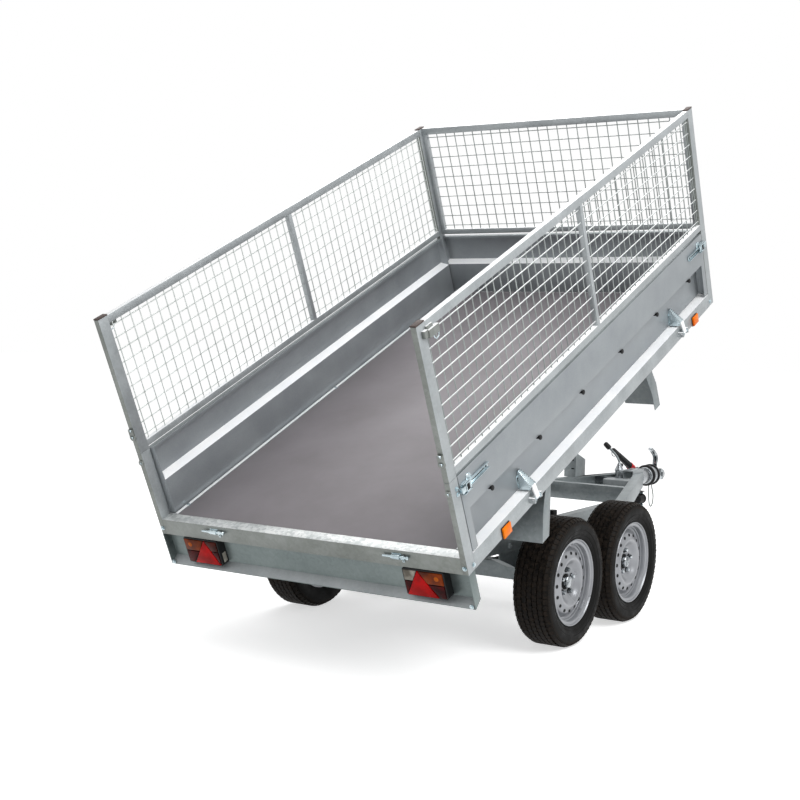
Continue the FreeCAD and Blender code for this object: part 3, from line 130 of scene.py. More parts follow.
def plastic(name, colour, rough):
    # Moulded plastic, soft rubber or enamel: an even colour with a faint sheen change where it was handled.
    material, tree, shader, place = startMaterial(name)
    cloud = addNode(tree, "ShaderNodeTexNoise", Vector=place, Scale=1000 / grains["plasticCloud"],
                    Detail=3.0)
    base = linearColour(colour)
    lift = tuple(min(1.0, v * 1.24 + 0.002) for v in base[:3]) + (1.0,)
    duller = min(1.0, rough + 0.12)
    feed(shader, {
        "Base Color": addNode(tree, "ShaderNodeValToRGB", [(0.35, base), (0.7, lift)], Fac=cloud),
        "Roughness": addNode(tree, "ShaderNodeValToRGB", [(0.3, rough), (0.8, duller)], Fac=cloud),
        "Specular IOR Level": 0.25})
    return material


def vulcanisedRubber(name, clean, dusty, reach, patch):
    # Vulcanised tyre rubber: near black and satin, with brown soil dust rubbed into it in patches.
    material, tree, shader, place = startMaterial(name)
    dust = addNode(tree, "ShaderNodeTexNoise", Vector=place, Scale=1000 / patch, Detail=8.0, Roughness=0.75)
    soiled = [(reach[0], clean), (reach[1], dusty)]
    feed(shader, {
        "Base Color": addNode(tree, "ShaderNodeValToRGB", soiled, Fac=dust),
        "Roughness": addNode(tree, "ShaderNodeValToRGB", [(0.35, 0.42), (0.65, 0.8)], Fac=dust),
        "Specular IOR Level": 0.09,
        "Normal": addNode(tree, "ShaderNodeBump", Strength=0.12, Distance=0.001, Height=dust)})
    return material


def filmPlywood():
    # Birch plywood with a brown-grey phenolic film, its face pressed with a fine wire pattern, dusty and
    # scattered with pale crumbs.
    material, tree, shader, place = startMaterial("filmFacedPlywood")
    dust = addNode(tree, "ShaderNodeTexNoise", Vector=place, Scale=1000 / grains["filmDust"],
                   Detail=8.0, Roughness=0.6)
    crumbs = addNode(tree, "ShaderNodeTexVoronoi", feature="F1", Vector=place,
                     Scale=1000 / grains["filmCrumb"])
    wire = addNode(tree, "ShaderNodeTexVoronoi", feature="DISTANCE_TO_EDGE", Vector=place,
                   Scale=1000 / grains["filmWire"])
    film = addNode(tree, "ShaderNodeValToRGB", [(0.3, "#777275"), (0.72, "#868185")], Fac=dust)
    speck = addNode(tree, "ShaderNodeValToRGB", [(0.0, 1.0), (0.03, 0.0)], Fac=crumbs)
    mix = addNode(tree, "ShaderNodeMix", data_type="RGBA", i0=speck, i6=film, i7=linearColour("#aba49c"))
    feed(shader, {
        "Base Color": mix.outputs[2],
        "Roughness": 0.55,
        "Normal": addNode(tree, "ShaderNodeBump", Strength=0.1, Distance=0.0006, Height=wire)})
    return material


def acrylic(name, colour, deep, prism=9.0):
    # Injection-moulded acrylic lens: glossy face with rows of small prisms behind it.
    material, tree, shader, place = startMaterial(name)
    prisms = addNode(tree, "ShaderNodeTexVoronoi", feature="F1", distance="CHEBYCHEV", Vector=place,
                     Scale=1000 / prism)
    shade = addNode(tree, "ShaderNodeTexNoise", Vector=place, Scale=1000 / grains["lensCloud"], Detail=2.0)
    feed(shader, {
        "Base Color": addNode(tree, "ShaderNodeValToRGB", [(0.35, deep), (0.65, colour)], Fac=shade),
        "Roughness": 0.25,
        "Specular IOR Level": 0.1,
        "Normal": addNode(tree, "ShaderNodeBump", Strength=0.25, Distance=0.0006, Height=prisms)})
    return material


zincFrame = galvanised("hotDipGalvanisedFrame", "#9a9fa1", "#b0b5b7", 0.5, (0.4, 0.5))
zincSheet = galvanised("galvanisedSheetBoards", "#8c9195", "#999ea1", 0.45, (0.38, 0.46), 5.0, 0.12)
# Near white zinc for tops, ledges and small up-facing parts: a painted highlight of the sky.
zincPaintedHighlight = galvanised("galvanisedLedgesPaintedHighlight", "#f4f6f9", "#ffffff", 0.0, (0.4, 0.5), contrast=0.12)
# A paler copy of the sill zinc for the sill's top faces: a painted highlight.
zincSillPaintedHighlight = galvanised("galvanisedSillTopPaintedHighlight", "#b4b9b9", "#e9ebea", 0.4, (0.3, 0.45), 14.0, 0.3)
# A darker copy of the zinc for the rear sill, the post discs and plates, the mesh latches and rear faces:
# painted shade, standing in for the dark ground they mirror.
zincPaintedGroundShade = galvanised("galvanisedPaintedGroundShade", "#727672", "#8b8f8c", 0.6, (0.34, 0.46), 12.0)
# A darker copy of the zinc for the lamp tray: painted shade, standing in for the dark ground it mirrors.
zincTrayPaintedShade = galvanised("galvanisedLampTrayPaintedShade", "#667070", "#7c8685", 0.6, (0.34, 0.46), 12.0)
# A darker copy of the frame zinc for the chassis, mudguards, sub-frame, cross members, axles, the jockey
# crank and the boards' top folds: painted shade, as under the bed.
zincPaintedShade = galvanised("hotDipGalvanisedPaintedShade", "#757c7e", "#949b9d", 0.6, (0.38, 0.5), 14.0)
# A darker copy of the wire zinc for the right mesh's upright wires and the front mesh's wires: painted shade.
zincWirePaintedShade = galvanised("galvanisedWirePaintedShade", "#868c8b", "#a2a8a6", 0.4, (0.3, 0.4), 30.0)
zincRow = galvanised("galvanisedOuterWire", "#a4aaa8", "#c2c7c5", 0.35, (0.3, 0.4), 30.0)
zincWire = galvanised("galvanisedWeldedWire", "#c0c6c3", "#dde1df", 0.35, (0.3, 0.4), 30.0)
clearZinc = galvanised("clearZincPlatedFittings", "#a3b3b9", "#cdd9dd", 0.9, (0.16, 0.28), 24.0)
wheelSilver = galvanised("silverWheelLacquer", "#8b8d91", "#9b9da1", 0.5, (0.26, 0.34), 80.0, 0.08)
brightSteel = galvanised("polishedChromedSteel", "#5c6164", "#bcc1c4", 1.0, (0.14, 0.24), 26.0, 0.6)
turnedSteel = galvanised("turnedSteelTube", "#7d8184", "#a9adb0", 0.9, (0.2, 0.3), 40.0, 0.3)
blackPlastic = plastic("blackPolypropylene", "#151516", 0.5)
blackRubber = plastic("blackRubberGaiter", "#161617", 0.45)
redPlastic = plastic("redPolypropylene", "#c2181d", 0.4)
brownCap = plastic("brownCapPlastic", "#4a3f3c", 0.55)
greyEnamel = plastic("greyEnamel", "#7f8486", 0.35)
cableSheath = plastic("greyGreenCableSheath", "#56625b", 0.5)
# Near black for openings, slots, notches, holes and recesses: painted shadow.
paintedHoleShadow = plastic("shadowInHoles", "#121314", 0.8)
tyreSide = vulcanisedRubber("tyreSidewallRubber", "#141414", "#242321", (0.45, 0.8), 60.0)
tyreTread = vulcanisedRubber("tyreTreadRubber", "#100f0e", "#332b24", (0.42, 0.7), 18.0)
floorFilm = filmPlywood()
redLens = acrylic("redAcrylicLens", "#550405", "#2c0203")
redReflector = acrylic("redPrismReflector", "#c8080a", "#9c0404", 5.0)
amberLens = acrylic("amberAcrylicLens", "#8f3a06", "#4f1c03")
darkAmber = acrylic("smokedAmberLens", "#5e1a06", "#340a03")
bulbGlow = acrylic("amberBulbGlow", "#cc680c", "#a94c06")
amberReflector = acrylic("amberPrismReflector", "#fb8205", "#e66400", 5.0)
clearLens = acrylic("clearAcrylicLens", "#c9c4b8", "#6d675d")
print("materials made")


# Forms

def addSlab(form, front, back, slot=0):
    # A closed slab between two outlines that have as many corners.
    near, far = ([form.verts.new(point) for point in outline] for outline in (front, back))
    faces = [form.faces.new(near), form.faces.new(far)]
    for i in range(len(near)):
        j = (i + 1) % len(near)
        faces.append(form.faces.new((near[i], near[j], far[j], far[i])))
    for face in faces:
        face.material_index = slot
    return near + far


def addPrism(form, outline, axis, start, end, slot=0):
    # outline is drawn in the two other axes in X, Y, Z order.
    order = {"X": (2, 0, 1), "Y": (0, 2, 1), "Z": (0, 1, 2)}[axis]
    ends = [[[(*point, along)[k] for k in order] for point in outline] for along in (start, end)]
    return addSlab(form, *ends, slot)


def addBox(form, x0, x1, y0, y1, z0, z1, slot=0):
    return addPrism(form, [(x0, y0), (x1, y0), (x1, y1), (x0, y1)], "Z", z0, z1, slot)


def addRound(form, centre, side, other, radius, sides):
    # Corners round a centre, in the plane of two directions; a radius of nothing is a single one.
    turns = [2 * math.pi * k / sides for k in range(sides)] if radius > 0.001 else [0]
    return [form.verts.new(centre + (side * math.cos(a) + other * math.sin(a)) * radius) for a in turns]


def addTube(form, path, radius, sides=12, slot=0):
    # A round bar along a path, closed at both ends.
    path = [Vector(p) for p in path]
    rings = []
    for i, point in enumerate(path):
        if i == 0:
            direction = path[1] - path[0]
        elif i == len(path) - 1:
            direction = path[-1] - path[-2]
        else:
            direction = (path[i + 1] - point).normalized() + (point - path[i - 1]).normalized()
        direction.normalize()
        if rings:  # the ring starts beside the last one's start, so that the tube doesn't twist
            last = rings[-1][0].co - path[i - 1]
            side = (last - direction * last.dot(direction)).normalized()
        else:
            upright = Vector((0, 0, 1)) if abs(direction.z) < 0.9 else Vector((0, 1, 0))
            side = direction.cross(upright).normalized()
        rings.append(addRound(form, point, side, direction.cross(side), radius, sides))
    for low, high in zip(rings, rings[1:]):
        for k in range(sides):
            face = form.faces.new((low[k], low[(k + 1) % sides], high[(k + 1) % sides], high[k]))
            face.material_index = slot
    for ring in (rings[0], rings[-1]):
        form.faces.new(ring).material_index = slot
    return [v for ring in rings for v in ring]


def addLathe(form, profile, centre=(0, 0, 0), axis="X", sides=64, slot=0, slots=()):
    # profile is (along the axis, radius) and closes on itself; slots is for its steps one by one.
    turn = "XYZ".index(axis)
    along, side, other = (Vector([float(k == (turn + n) % 3) for k in range(3)]) for n in range(3))
    rings = [addRound(form, Vector(centre) + along * distance, side, other, radius, sides)
             for distance, radius in profile]
    pairs = list(zip(rings, rings[1:]))
    if len(rings[0]) > 1 or len(rings[-1]) > 1:
        pairs.append((rings[-1], rings[0]))
    for n, (low, high) in enumerate(pairs):
        for k in range(sides):
            corners = []
            for ring, step in ((low, k), (low, k + 1), (high, k + 1), (high, k)):
                vert = ring[step % len(ring)]
                if vert not in corners:
                    corners.append(vert)
            if len(corners) > 2:
                form.faces.new(corners).material_index = slots[n] if n < len(slots) else slot
    return [v for ring in rings for v in ring]


def moved(verts, matrix):
    for vert in verts:
        vert.co = matrix @ vert.co


def roundedPath(points, bendSteps=6, share=0.45):
    # Straight runs joined by tangent arcs, which take up a share of the shorter run, as the solid has them.
    points = [Vector(p) for p in points]
    out = [points[0]]
    for before, here, after in zip(points, points[1:], points[2:]):
        into = here - before
        away = after - here
        half = into.angle(away) / 2
        trim = share * min(into.length, away.length)
        bend = trim / math.tan(half)
        start = here - into.normalized() * trim
        inward = (away.normalized() - into.normalized()).normalized()
        centre = here + inward * (bend / math.cos(half))
        normal = into.cross(away).normalized()
        arm = start - centre
        for k in range(bendSteps + 1):
            out.append(centre + Matrix.Rotation(2 * half * k / bendSteps, 3, normal) @ arm)
    out.append(points[-1])
    return out


# Pieces

edges = {"segments": 2, "beveledOver": 28, "creasedOver": 32}


def addObject(name, data):
    thing = bpy.data.objects.new(name, data)
    bpy.context.scene.collection.objects.link(thing)
    return thing


def plainMesh(thing):
    bpy.context.view_layer.update()
    return bpy.data.meshes.new_from_object(thing.evaluated_get(bpy.context.evaluated_depsgraph_get()))


def formMesh(form, name):
    mesh = bpy.data.meshes.new(name)
    form.to_mesh(mesh)
    form.free()
    return mesh


def placePiece(name, mesh, body, materials, replaced, bevel, creased):
    # Rounds the edges, turns the result into a plain mesh, shades flat faces flat and hangs it on its body.
    for material in materials:
        mesh.materials.append(material)
    thing = addObject(name, mesh)
    if bevel:
        rounding = thing.modifiers.new("edges", "BEVEL")
        rounding.width = bevel / 1000
        rounding.segments = edges["segments"]
        rounding.limit_method = "ANGLE"
        rounding.angle_limit = math.radians(edges["beveledOver"])
        mesh = plainMesh(thing)
        thing.modifiers.clear()
        thing.data = mesh
    mesh.polygons.foreach_set("use_smooth", [True] * len(mesh.polygons))
    mesh.set_sharp_from_angle(angle=math.radians(creased))
    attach(thing, body)
    if replaced:
        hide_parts(*replaced)
    return thing


def makePiece(name, form, space, body, materials, replaced=(), bevel=0.0, creased=edges["creasedOver"]):
    # A mirrored space turns faces inside out, so they are turned outward after the move.
    form.transform(space)
    bmesh.ops.recalc_face_normals(form, faces=form.faces)
    return placePiece(name, formMesh(form, name), body, materials, replaced, bevel, creased)


def softened(node, body, material, bevel):
    # A rounded copy of a solid's own mesh: merged, its flat faces joined, its edges bevelled.
    form = bmesh.new()
    form.from_mesh(cadNodes[node].data)
    bmesh.ops.remove_doubles(form, verts=form.verts, dist=0.00002)
    bmesh.ops.dissolve_limit(form, angle_limit=math.radians(1.0), verts=form.verts, edges=form.edges)
    name = node + "Rounded"
    return placePiece(name, formMesh(form, name), body, [material], [node], bevel, edges["creasedOver"])


def paintLightAndShadeOnFaces(thing, material, facing=(0, 0, 1), above=-500, likeness=0.8):
    # Faces that point much the same way on the level bed, over a height on it, take another material as
    # painted light:
    # tops lie open to the sky and take a paler copy as a painted highlight, rear faces mirror the ground and
    # take a duller copy as painted shade.
    turn = Matrix.Rotation(math.radians(places["tilt"]), 3, "X")
    level = bedSpace.inverted()
    thing.data.materials.append(material)
    slot = len(thing.data.materials) - 1
    for face in thing.data.polygons:
        if face.normal.dot(turn @ Vector(facing)) > likeness and (level @ face.center).z > above:
            face.material_index = slot


# Geometry Nodes

def startTree(name, inputs):
    tree = bpy.data.node_groups.new(name, "GeometryNodeTree")
    tree.interface.new_socket("Geometry", in_out="OUTPUT", socket_type="NodeSocketGeometry")
    for title, kind in inputs.items():
        tree.interface.new_socket(title, in_out="INPUT", socket_type="NodeSocket" + kind)
    return tree, addNode(tree, "NodeGroupInput").outputs


def endTree(tree, instances, material):
    real = addNode(tree, "GeometryNodeRealizeInstances", Geometry=instances)
    paint = addNode(tree, "GeometryNodeSetMaterial", Geometry=real, Material=material)
    addNode(tree, "NodeGroupOutput", Geometry=paint)
    return tree


def rowTree():
    # Round bars in a straight row: mesh wires, notches and slots.
    tree, given = startTree("barRow", {
        "Count": "Int", "Start": "Vector", "Step": "Vector", "Radius": "Float", "Length": "Float",
        "Sides": "Int", "Turn": "Vector", "Material": "Material"})
    line = addNode(tree, "GeometryNodeMeshLine", mode="OFFSET", Count=given["Count"])
    feed(line, {"Start Location": given["Start"], "Offset": given["Step"]})
    bar = addNode(tree, "GeometryNodeMeshCylinder", Vertices=given["Sides"], Radius=given["Radius"],
                  Depth=given["Length"])
    rows = addNode(tree, "GeometryNodeInstanceOnPoints", Points=line, Instance=bar, Rotation=given["Turn"])
    return endTree(tree, rows, given["Material"])


def ringTree():
    # Blocks or discs around the wheel's axle, each facing outwards: tread blocks, sipes and disc holes.
    tree, given = startTree("wheelRing", {
        "Count": "Int", "Radius": "Float", "Block": "Vector", "Aside": "Float", "Phase": "Float",
        "Skew": "Float", "Lean": "Float", "Sides": "Int", "Unit": "Float", "Material": "Material"})
    line = addNode(tree, "GeometryNodeMeshLine", mode="OFFSET", Count=given["Count"])
    angle = addNode(tree, "GeometryNodeInputIndex")
    for operation, amount in (("ADD", given["Phase"]), ("DIVIDE", given["Count"]), ("MULTIPLY", 2 * math.pi)):
        angle = addNode(tree, "ShaderNodeMath", operation=operation, i0=angle, i1=amount)
    spot = addNode(tree, "ShaderNodeCombineXYZ", X=given["Aside"])
    for operation, axis in (("COSINE", "Y"), ("SINE", "Z")):
        share = addNode(tree, "ShaderNodeMath", operation=operation, i0=angle)
        across = addNode(tree, "ShaderNodeMath", operation="MULTIPLY", i0=share, i1=given["Radius"])
        feed(spot, {axis: across})
    placed = addNode(tree, "GeometryNodeSetPosition", Geometry=line, Position=spot)
    unit = addNode(tree, "GeometryNodeMeshCylinder", Vertices=given["Sides"], Radius=given["Unit"],
                   Depth=1.0)
    square = addNode(tree, "GeometryNodeTransform", Geometry=unit, Rotation=(0, 0, math.pi / 4))
    lean = addNode(tree, "ShaderNodeCombineXYZ", X=0.0, Y=given["Lean"], Z=given["Skew"])
    block = addNode(tree, "GeometryNodeTransform", Geometry=square, Rotation=lean, Scale=given["Block"])
    around = addNode(tree, "ShaderNodeMath", operation="SUBTRACT", i0=angle, i1=quarter)
    spin = addNode(tree, "ShaderNodeCombineXYZ", X=around, Y=0.0, Z=0.0)
    blocks = addNode(tree, "GeometryNodeInstanceOnPoints", Points=placed, Instance=block, Rotation=spin)
    return endTree(tree, blocks, given["Material"])


def boltTree():
    # A washer and a hexagon head on every point, standing along the point's own outward direction.
    tree, given = startTree("boltsOnPoints", {
        "Geometry": "Geometry", "Head": "Float", "Washer": "Float", "Height": "Float",
        "Material": "Material"})
    outward = addNode(tree, "GeometryNodeInputNamedAttribute", data_type="FLOAT_VECTOR", Name="outward")
    aim = addNode(tree, "FunctionNodeAlignRotationToVector", axis="Z", Vector=outward)
    thin = addNode(tree, "ShaderNodeMath", operation="MULTIPLY", i0=given["Height"], i1=0.5)
    washer = addNode(tree, "GeometryNodeMeshCylinder", Vertices=18, Radius=given["Washer"], Depth=thin)
    head = addNode(tree, "GeometryNodeMeshCylinder", Vertices=6, Radius=given["Head"], Depth=given["Height"])
    up = addNode(tree, "ShaderNodeCombineXYZ", X=0.0, Y=0.0, Z=thin)
    raised = addNode(tree, "GeometryNodeTransform", Geometry=head, Translation=up)
    both = addNode(tree, "GeometryNodeJoinGeometry", Geometry=raised)
    feed(both, {"Geometry": washer})
    bolts = addNode(tree, "GeometryNodeInstanceOnPoints", Points=given["Geometry"], Instance=both,
                    Rotation=aim)
    return endTree(tree, bolts, given["Material"])


barRow = rowTree()
wheelRing = ringTree()
boltsOnPoints = boltTree()


def addGrown(form, slot, tree, settings, mesh=None):
    # Adds the mesh that a tree makes with these inputs, in millimetres, under one of the form's materials.
    thing = addObject("grown", mesh or bpy.data.meshes.new("grown"))
    modifier = thing.modifiers.new("grown", "NODES")
    modifier.node_group = tree
    for item in tree.interface.items_tree:
        if item.in_out == "INPUT" and item.name in settings:
            value = settings[item.name]
            if item.socket_type == "NodeSocketFloat":
                value = float(value)
            elif item.socket_type == "NodeSocketVector":
                value = tuple(float(v) for v in value)
            modifier[item.identifier] = value
    made = plainMesh(thing)
    bpy.data.objects.remove(thing)
    before = len(form.faces)
    form.from_mesh(made)
    form.faces.ensure_lookup_table()
    for face in form.faces[before:]:
        face.material_index = slot


def addRow(form, start, step, count, radius, length, turn=(0, 0, 0), sides=8, slot=0):
    addGrown(form, slot, barRow, {"Count": count, "Start": start, "Step": step, "Radius": radius,
                                  "Length": length, "Turn": turn, "Sides": sides})


def boltPiece(name, bolts, space, body, material, sizes):
    # bolts is a list of (place, outward direction); sizes has the radius of head and washer, and the height.
    mesh = bpy.data.meshes.new(name)
    mesh.from_pydata([place for place, outward in bolts], [], [])
    direction = mesh.attributes.new("outward", "FLOAT_VECTOR", "POINT")
    for n, (place, outward) in enumerate(bolts):
        direction.data[n].vector = outward
    form = bmesh.new()
    addGrown(form, 0, boltsOnPoints, {**sizes, "Material": material}, mesh)
    makePiece(name, form, space, body, [material])


print("helpers ready")


# Bed frame, boards and floor: each solid with its finish and its edge's rounding

panels = {
    "low": 337, "high": 961, "outer": 797, "front": 2723, "rail": 35, "deep": 25, "underRail": 6,
    "strutWide": 25, "pitch": 57, "wire": 2.8, "uprightDepth": 15.3, "rowDepth": 9.7, "firstRow": 392.5,
    "rows": 10, "weld": 1,  # weld is how far a wire or strut runs into its frame
    "sideEnds": (58, 2671), "sideRuns": ((82, 23), (1450, 22)), "sideStrut": 1394, "endWire": 2.2,
    "frontHalf": 772, "frontRuns": ((-684, 25),),
}
bedSolids = (
    ("side_rail_left", zincFrame, 1.2), ("side_rail_right", zincFrame, 1.2), ("rear_sill", zincPaintedGroundShade, 1.4),
    ("front_beam", zincFrame, 1.2), ("light_beam", zincTrayPaintedShade, 0.9), ("front_board", zincSheet, 1.0),
    ("mudguards", zincPaintedShade, 0.8), ("sub_frame", zincPaintedShade, 2.0), ("cross_members", zincPaintedShade, 1.0),
    ("side_board_right", zincSheet, 1.0), ("side_board_left", zincSheet, 1.0), ("floor", floorFilm, 1.0),
    ("post_caps", brownCap, 1.5))
# Up-facing tops take a paler material as a painted highlight: near white on the frame and boards, a paler
# copy on the sill, the frame zinc on the lamp tray.
paintedTopHighlights = {zincFrame: zincPaintedHighlight, zincSheet: zincPaintedHighlight, zincPaintedGroundShade: zincSillPaintedHighlight, zincTrayPaintedShade: zincFrame}
for node, material, rounding in bedSolids:
    body = node.replace("side_", "") if node.startswith("side_board") else bedBody
    panel = softened(node, body, material, rounding)
    if material in paintedTopHighlights:
        paintLightAndShadeOnFaces(panel, paintedTopHighlights[material])
    if material == zincSheet:  # the boards' top folds take the darker zinc as painted shade, where the mesh rails shade them
        paintLightAndShadeOnFaces(panel, zincPaintedShade, above=panels["low"] - 20)
print("bed panels rounded")

# Posts: each upper one at the rear has a disc, a plate and two bolts behind, each lower one a disc and a
# bolt. A profile is a row of (along the axis, radius), here and below.
posts = {
    "inner": 772, "outer": 797, "deep": 58, "frontStart": 2671, "foot": -76, "seam": 331, "top": 961,
    "gap": 0.4, "discZ": 412, "plateTop": 452, "plateHalf": 14, "plateY": (-8, 0.5), "upperBolts": (446, 414),
    "lowerBolt": 286,
    "upperDisc": [(-8, 0), (-8, 15), (-6, 17), (0.5, 17), (0.5, 0)],
    "upperBoltEnd": [(-15, 0), (-15, 6), (-9, 8), (-7, 8), (-7, 0)],
    "lowerDisc": [(-6, 0), (-6, 14), (0.5, 14), (0.5, 0)],
    "lowerBoltEnd": [(-13, 0), (-13, 6), (-5, 7), (-5, 0)],
}
for node, foot, top in (("lower_posts", "foot", "seam"), ("upper_posts", "seam", "top")):
    low, high = posts[foot] + posts["gap"], posts[top] - posts["gap"]
    postForm = bmesh.new()
    for side in (1, -1):
        x0, x1 = side * posts["inner"], side * posts["outer"]
        for start in (0, posts["frontStart"]):
            addBox(postForm, x0, x1, start, start + posts["deep"], low, high)
        middle = (x0 + x1) / 2
        if node == "upper_posts":
            addLathe(postForm, posts["upperDisc"], (middle, 0, posts["discZ"]), "Y", 24, 1)
            addBox(postForm, middle - posts["plateHalf"], middle + posts["plateHalf"], *posts["plateY"],
                   posts["discZ"], posts["plateTop"], 1)
            for z in posts["upperBolts"]:
                addLathe(postForm, posts["upperBoltEnd"], (middle, 0, z), "Y", 6, 2)
        else:
            addLathe(postForm, posts["lowerDisc"], (middle, 0, posts["lowerBolt"]), "Y", 24, 1)
            addLathe(postForm, posts["lowerBoltEnd"], (middle, 0, posts["lowerBolt"]), "Y", 6, 2)
    # the discs and plates take the darker zinc as painted shade
    post = makePiece(node + "Plates", postForm, bedSpace, bedBody, [zincFrame, zincPaintedGroundShade, clearZinc], [node],
                     1.6)
    # faces towards the rear take the darker zinc too: painted reflection of the dark ground
    paintLightAndShadeOnFaces(post, zincPaintedGroundShade, (0, -1, 0))

bolts = {
    "ends": ((0, -1, 47), (2729, 1, 2684)), "endX": 784, "endZ": -46, "sideX": 797, "sideZ": -54,
    "postSpots": ((40, 262), (38, 288)), "lampSpot": (780, -222), "floorX": 730, "floorY": (140, 1364, 2590),
}
bedBolts = []
for side in (1, -1):
    sideX = side * bolts["sideX"]
    for y, outward, beside in bolts["ends"]:
        bedBolts.append(((side * bolts["endX"], y, bolts["endZ"]), (0, outward, 0)))
        bedBolts.append(((sideX, beside, bolts["sideZ"]), (side, 0, 0)))
    for y, z in bolts["postSpots"]:
        bedBolts.append(((sideX, y, z), (side, 0, 0)))
    bedBolts.append(((side * bolts["lampSpot"][0], 0, bolts["lampSpot"][1]), (0, -1, 0)))
    for y in bolts["floorY"]:
        bedBolts.append(((side * bolts["floorX"], y, 0.5), (0, 0, 1)))
boltPiece("bedBolts", bedBolts, bedSpace, bedBody, clearZinc, {"Head": 7, "Washer": 10, "Height": 6})


# Mesh panels: box rails, struts, upright wires inside and long wires outside, welded where they cross

def addFrameAndRows(form, start, end, runs, struts, endWires=()):
    # Drawn along Y from start to end with the outer face at X = 0 and the inner one at X = -deep.
    low, high, rail, deep, weld = (panels[k] for k in ("low", "high", "rail", "deep", "weld"))
    half = panels["strutWide"] / 2
    addBox(form, -deep, 0, start, end, low + panels["underRail"], low + rail)
    addBox(form, -deep, 0, start, end, high - rail, high)
    for y in struts:
        addBox(form, -deep, 0, y - half, y + half, low + rail - weld, high - rail + weld)
    for first, count in (*runs, *((y, 1) for y in endWires)):
        addRow(form, (-panels["uprightDepth"], first, (high + low) / 2), (0, panels["pitch"], 0), count,
               panels["wire"], high - low - rail * 2 + 4 * weld, slot=2)
    addRow(form, (-panels["rowDepth"], (start + end) / 2, panels["firstRow"]), (0, 0, panels["pitch"]),
           panels["rows"], panels["wire"], end - start - weld, (quarter, 0, 0), slot=1)


rear, front = panels["sideEnds"]
for side, node, wires in ((1, "mesh_right", [zincRow, zincWirePaintedShade]), (-1, "mesh_left", [zincWire, zincWire])):
    meshForm = bmesh.new()
    addFrameAndRows(meshForm, rear, front, panels["sideRuns"], [panels["sideStrut"]],
                    [rear + panels["endWire"], front - panels["endWire"]])
    toSide = Matrix.Translation((side * panels["outer"], 0, 0)) @ Matrix.Scale(side, 4, (1, 0, 0))
    sidePanel = makePiece(node + "Wires", meshForm, bedSpace @ toSide, bedBody, [zincFrame, *wires], [node],
                          1.2)
    # the rails' tops take the near-white zinc: painted highlight
    paintLightAndShadeOnFaces(sidePanel, zincPaintedHighlight)
meshForm = bmesh.new()
half = panels["frontHalf"]
cornerY = half - panels["strutWide"] / 2
addFrameAndRows(meshForm, -half, half, panels["frontRuns"], [-cornerY, cornerY])
toFront = Matrix.Translation((0, panels["front"], 0)) @ Matrix.Rotation(quarter, 4, "Z")
frontPanel = makePiece("meshFrontWires", meshForm, bedSpace @ toFront, bedBody,
                       [zincFrame, zincWirePaintedShade, zincWirePaintedShade], ["mesh_front"], 1.2)
# the rails' tops take the near-white zinc: painted highlight
paintLightAndShadeOnFaces(frontPanel, zincPaintedHighlight)
print("mesh panels welded")


# Board fittings: hinge brackets over their pins, over-centre latches and rope knobs

hinge = {
    "along": (570, 2262), "face": [(756, -11, 78), (756, 11, 78), (811, 24, 12), (811, -24, 12)],
    "behind": (-4, 0, -2),  # how far the face's back lies from its front
    "cheek": [(749, 11, 78), (756, 11, 78), (811, 24, 12), (807, 24, -1), (749, 24, -1)], "cheekThick": 3,
    "notches": 8, "firstNotch": (761, 8.5, 74), "notchStep": (6.375, 1.55, -8),
    "notchRadius": 1.5, "notchLong": 3.0, "slope": math.atan2(55, 66),
    "tongue": [(807, 14), (813, 14), (824, -45), (818, -49)], "tongueHalf": 15, "pin": (815, -24, -45),
    "knuckle": [(0, 6.3), (0, 12.5), (4, 12.5), (4, 8.5), (44, 8.5), (44, 12.5), (48, 12.5), (48, 6.3)],
    "hook": (748.2, 751, -24, 24, -1, 60, 0), "hookSlot": (751, 751.6, -21, -16, 6, 50, 1),
}
fittings = {
    "latches": ((66, 1), (2663, -1)), "knobFirst": 277, "knobStep": 432, "knobs": 6, "knobZ": 160.7,
    "knob": [(-18, 0), (-18, 7), (0.4, 7), (1.4, 10.5), (3.5, 11.5), (6.5, 11), (9, 8), (10, 0)],
}
latchBoxes = {  # X, then Y from the latch's own end, then Z, and 1 for the openings, drawn dark as painted shadow
    "caseBack": (797, 799.5, 0, 62, 246, 292, 0),
    "caseTop": (797, 813, 0, 62, 289.5, 292, 0),
    "caseBottom": (797, 813, 0, 62, 246, 248.5, 0),
    "slide": (797, 814, 18, 48, 250, 286, 0),
    "window": (813, 814.6, 23, 43, 255, 281, 1),
    "hook": (798.5, 815, -14, 12, 258, 282, 0),
    "lever": (799, 802, 48, 208, 258, 280, 0),
    "leverBottom": (799, 811, 48, 208, 257, 259.5, 0),
    "leverTop": (799, 811, 48, 208, 278.5, 281, 0),
    "leverSlot": (801.8, 802.4, 78, 178, 266, 271, 1),
}
latchRounds = {
    "hole": [(0, 0), (0, 5.5), (0.8, 5.5), (0.8, 0)], "holeSpot": (801.8, 194, 269),
    "cap": [(0, 0), (0, 20), (3, 20), (5, 17), (5, 0)], "capSpot": (797, 64, 287),
    "pin": ((808, 56, 252), (808, 56, 286)), "pinRadius": 4,
}


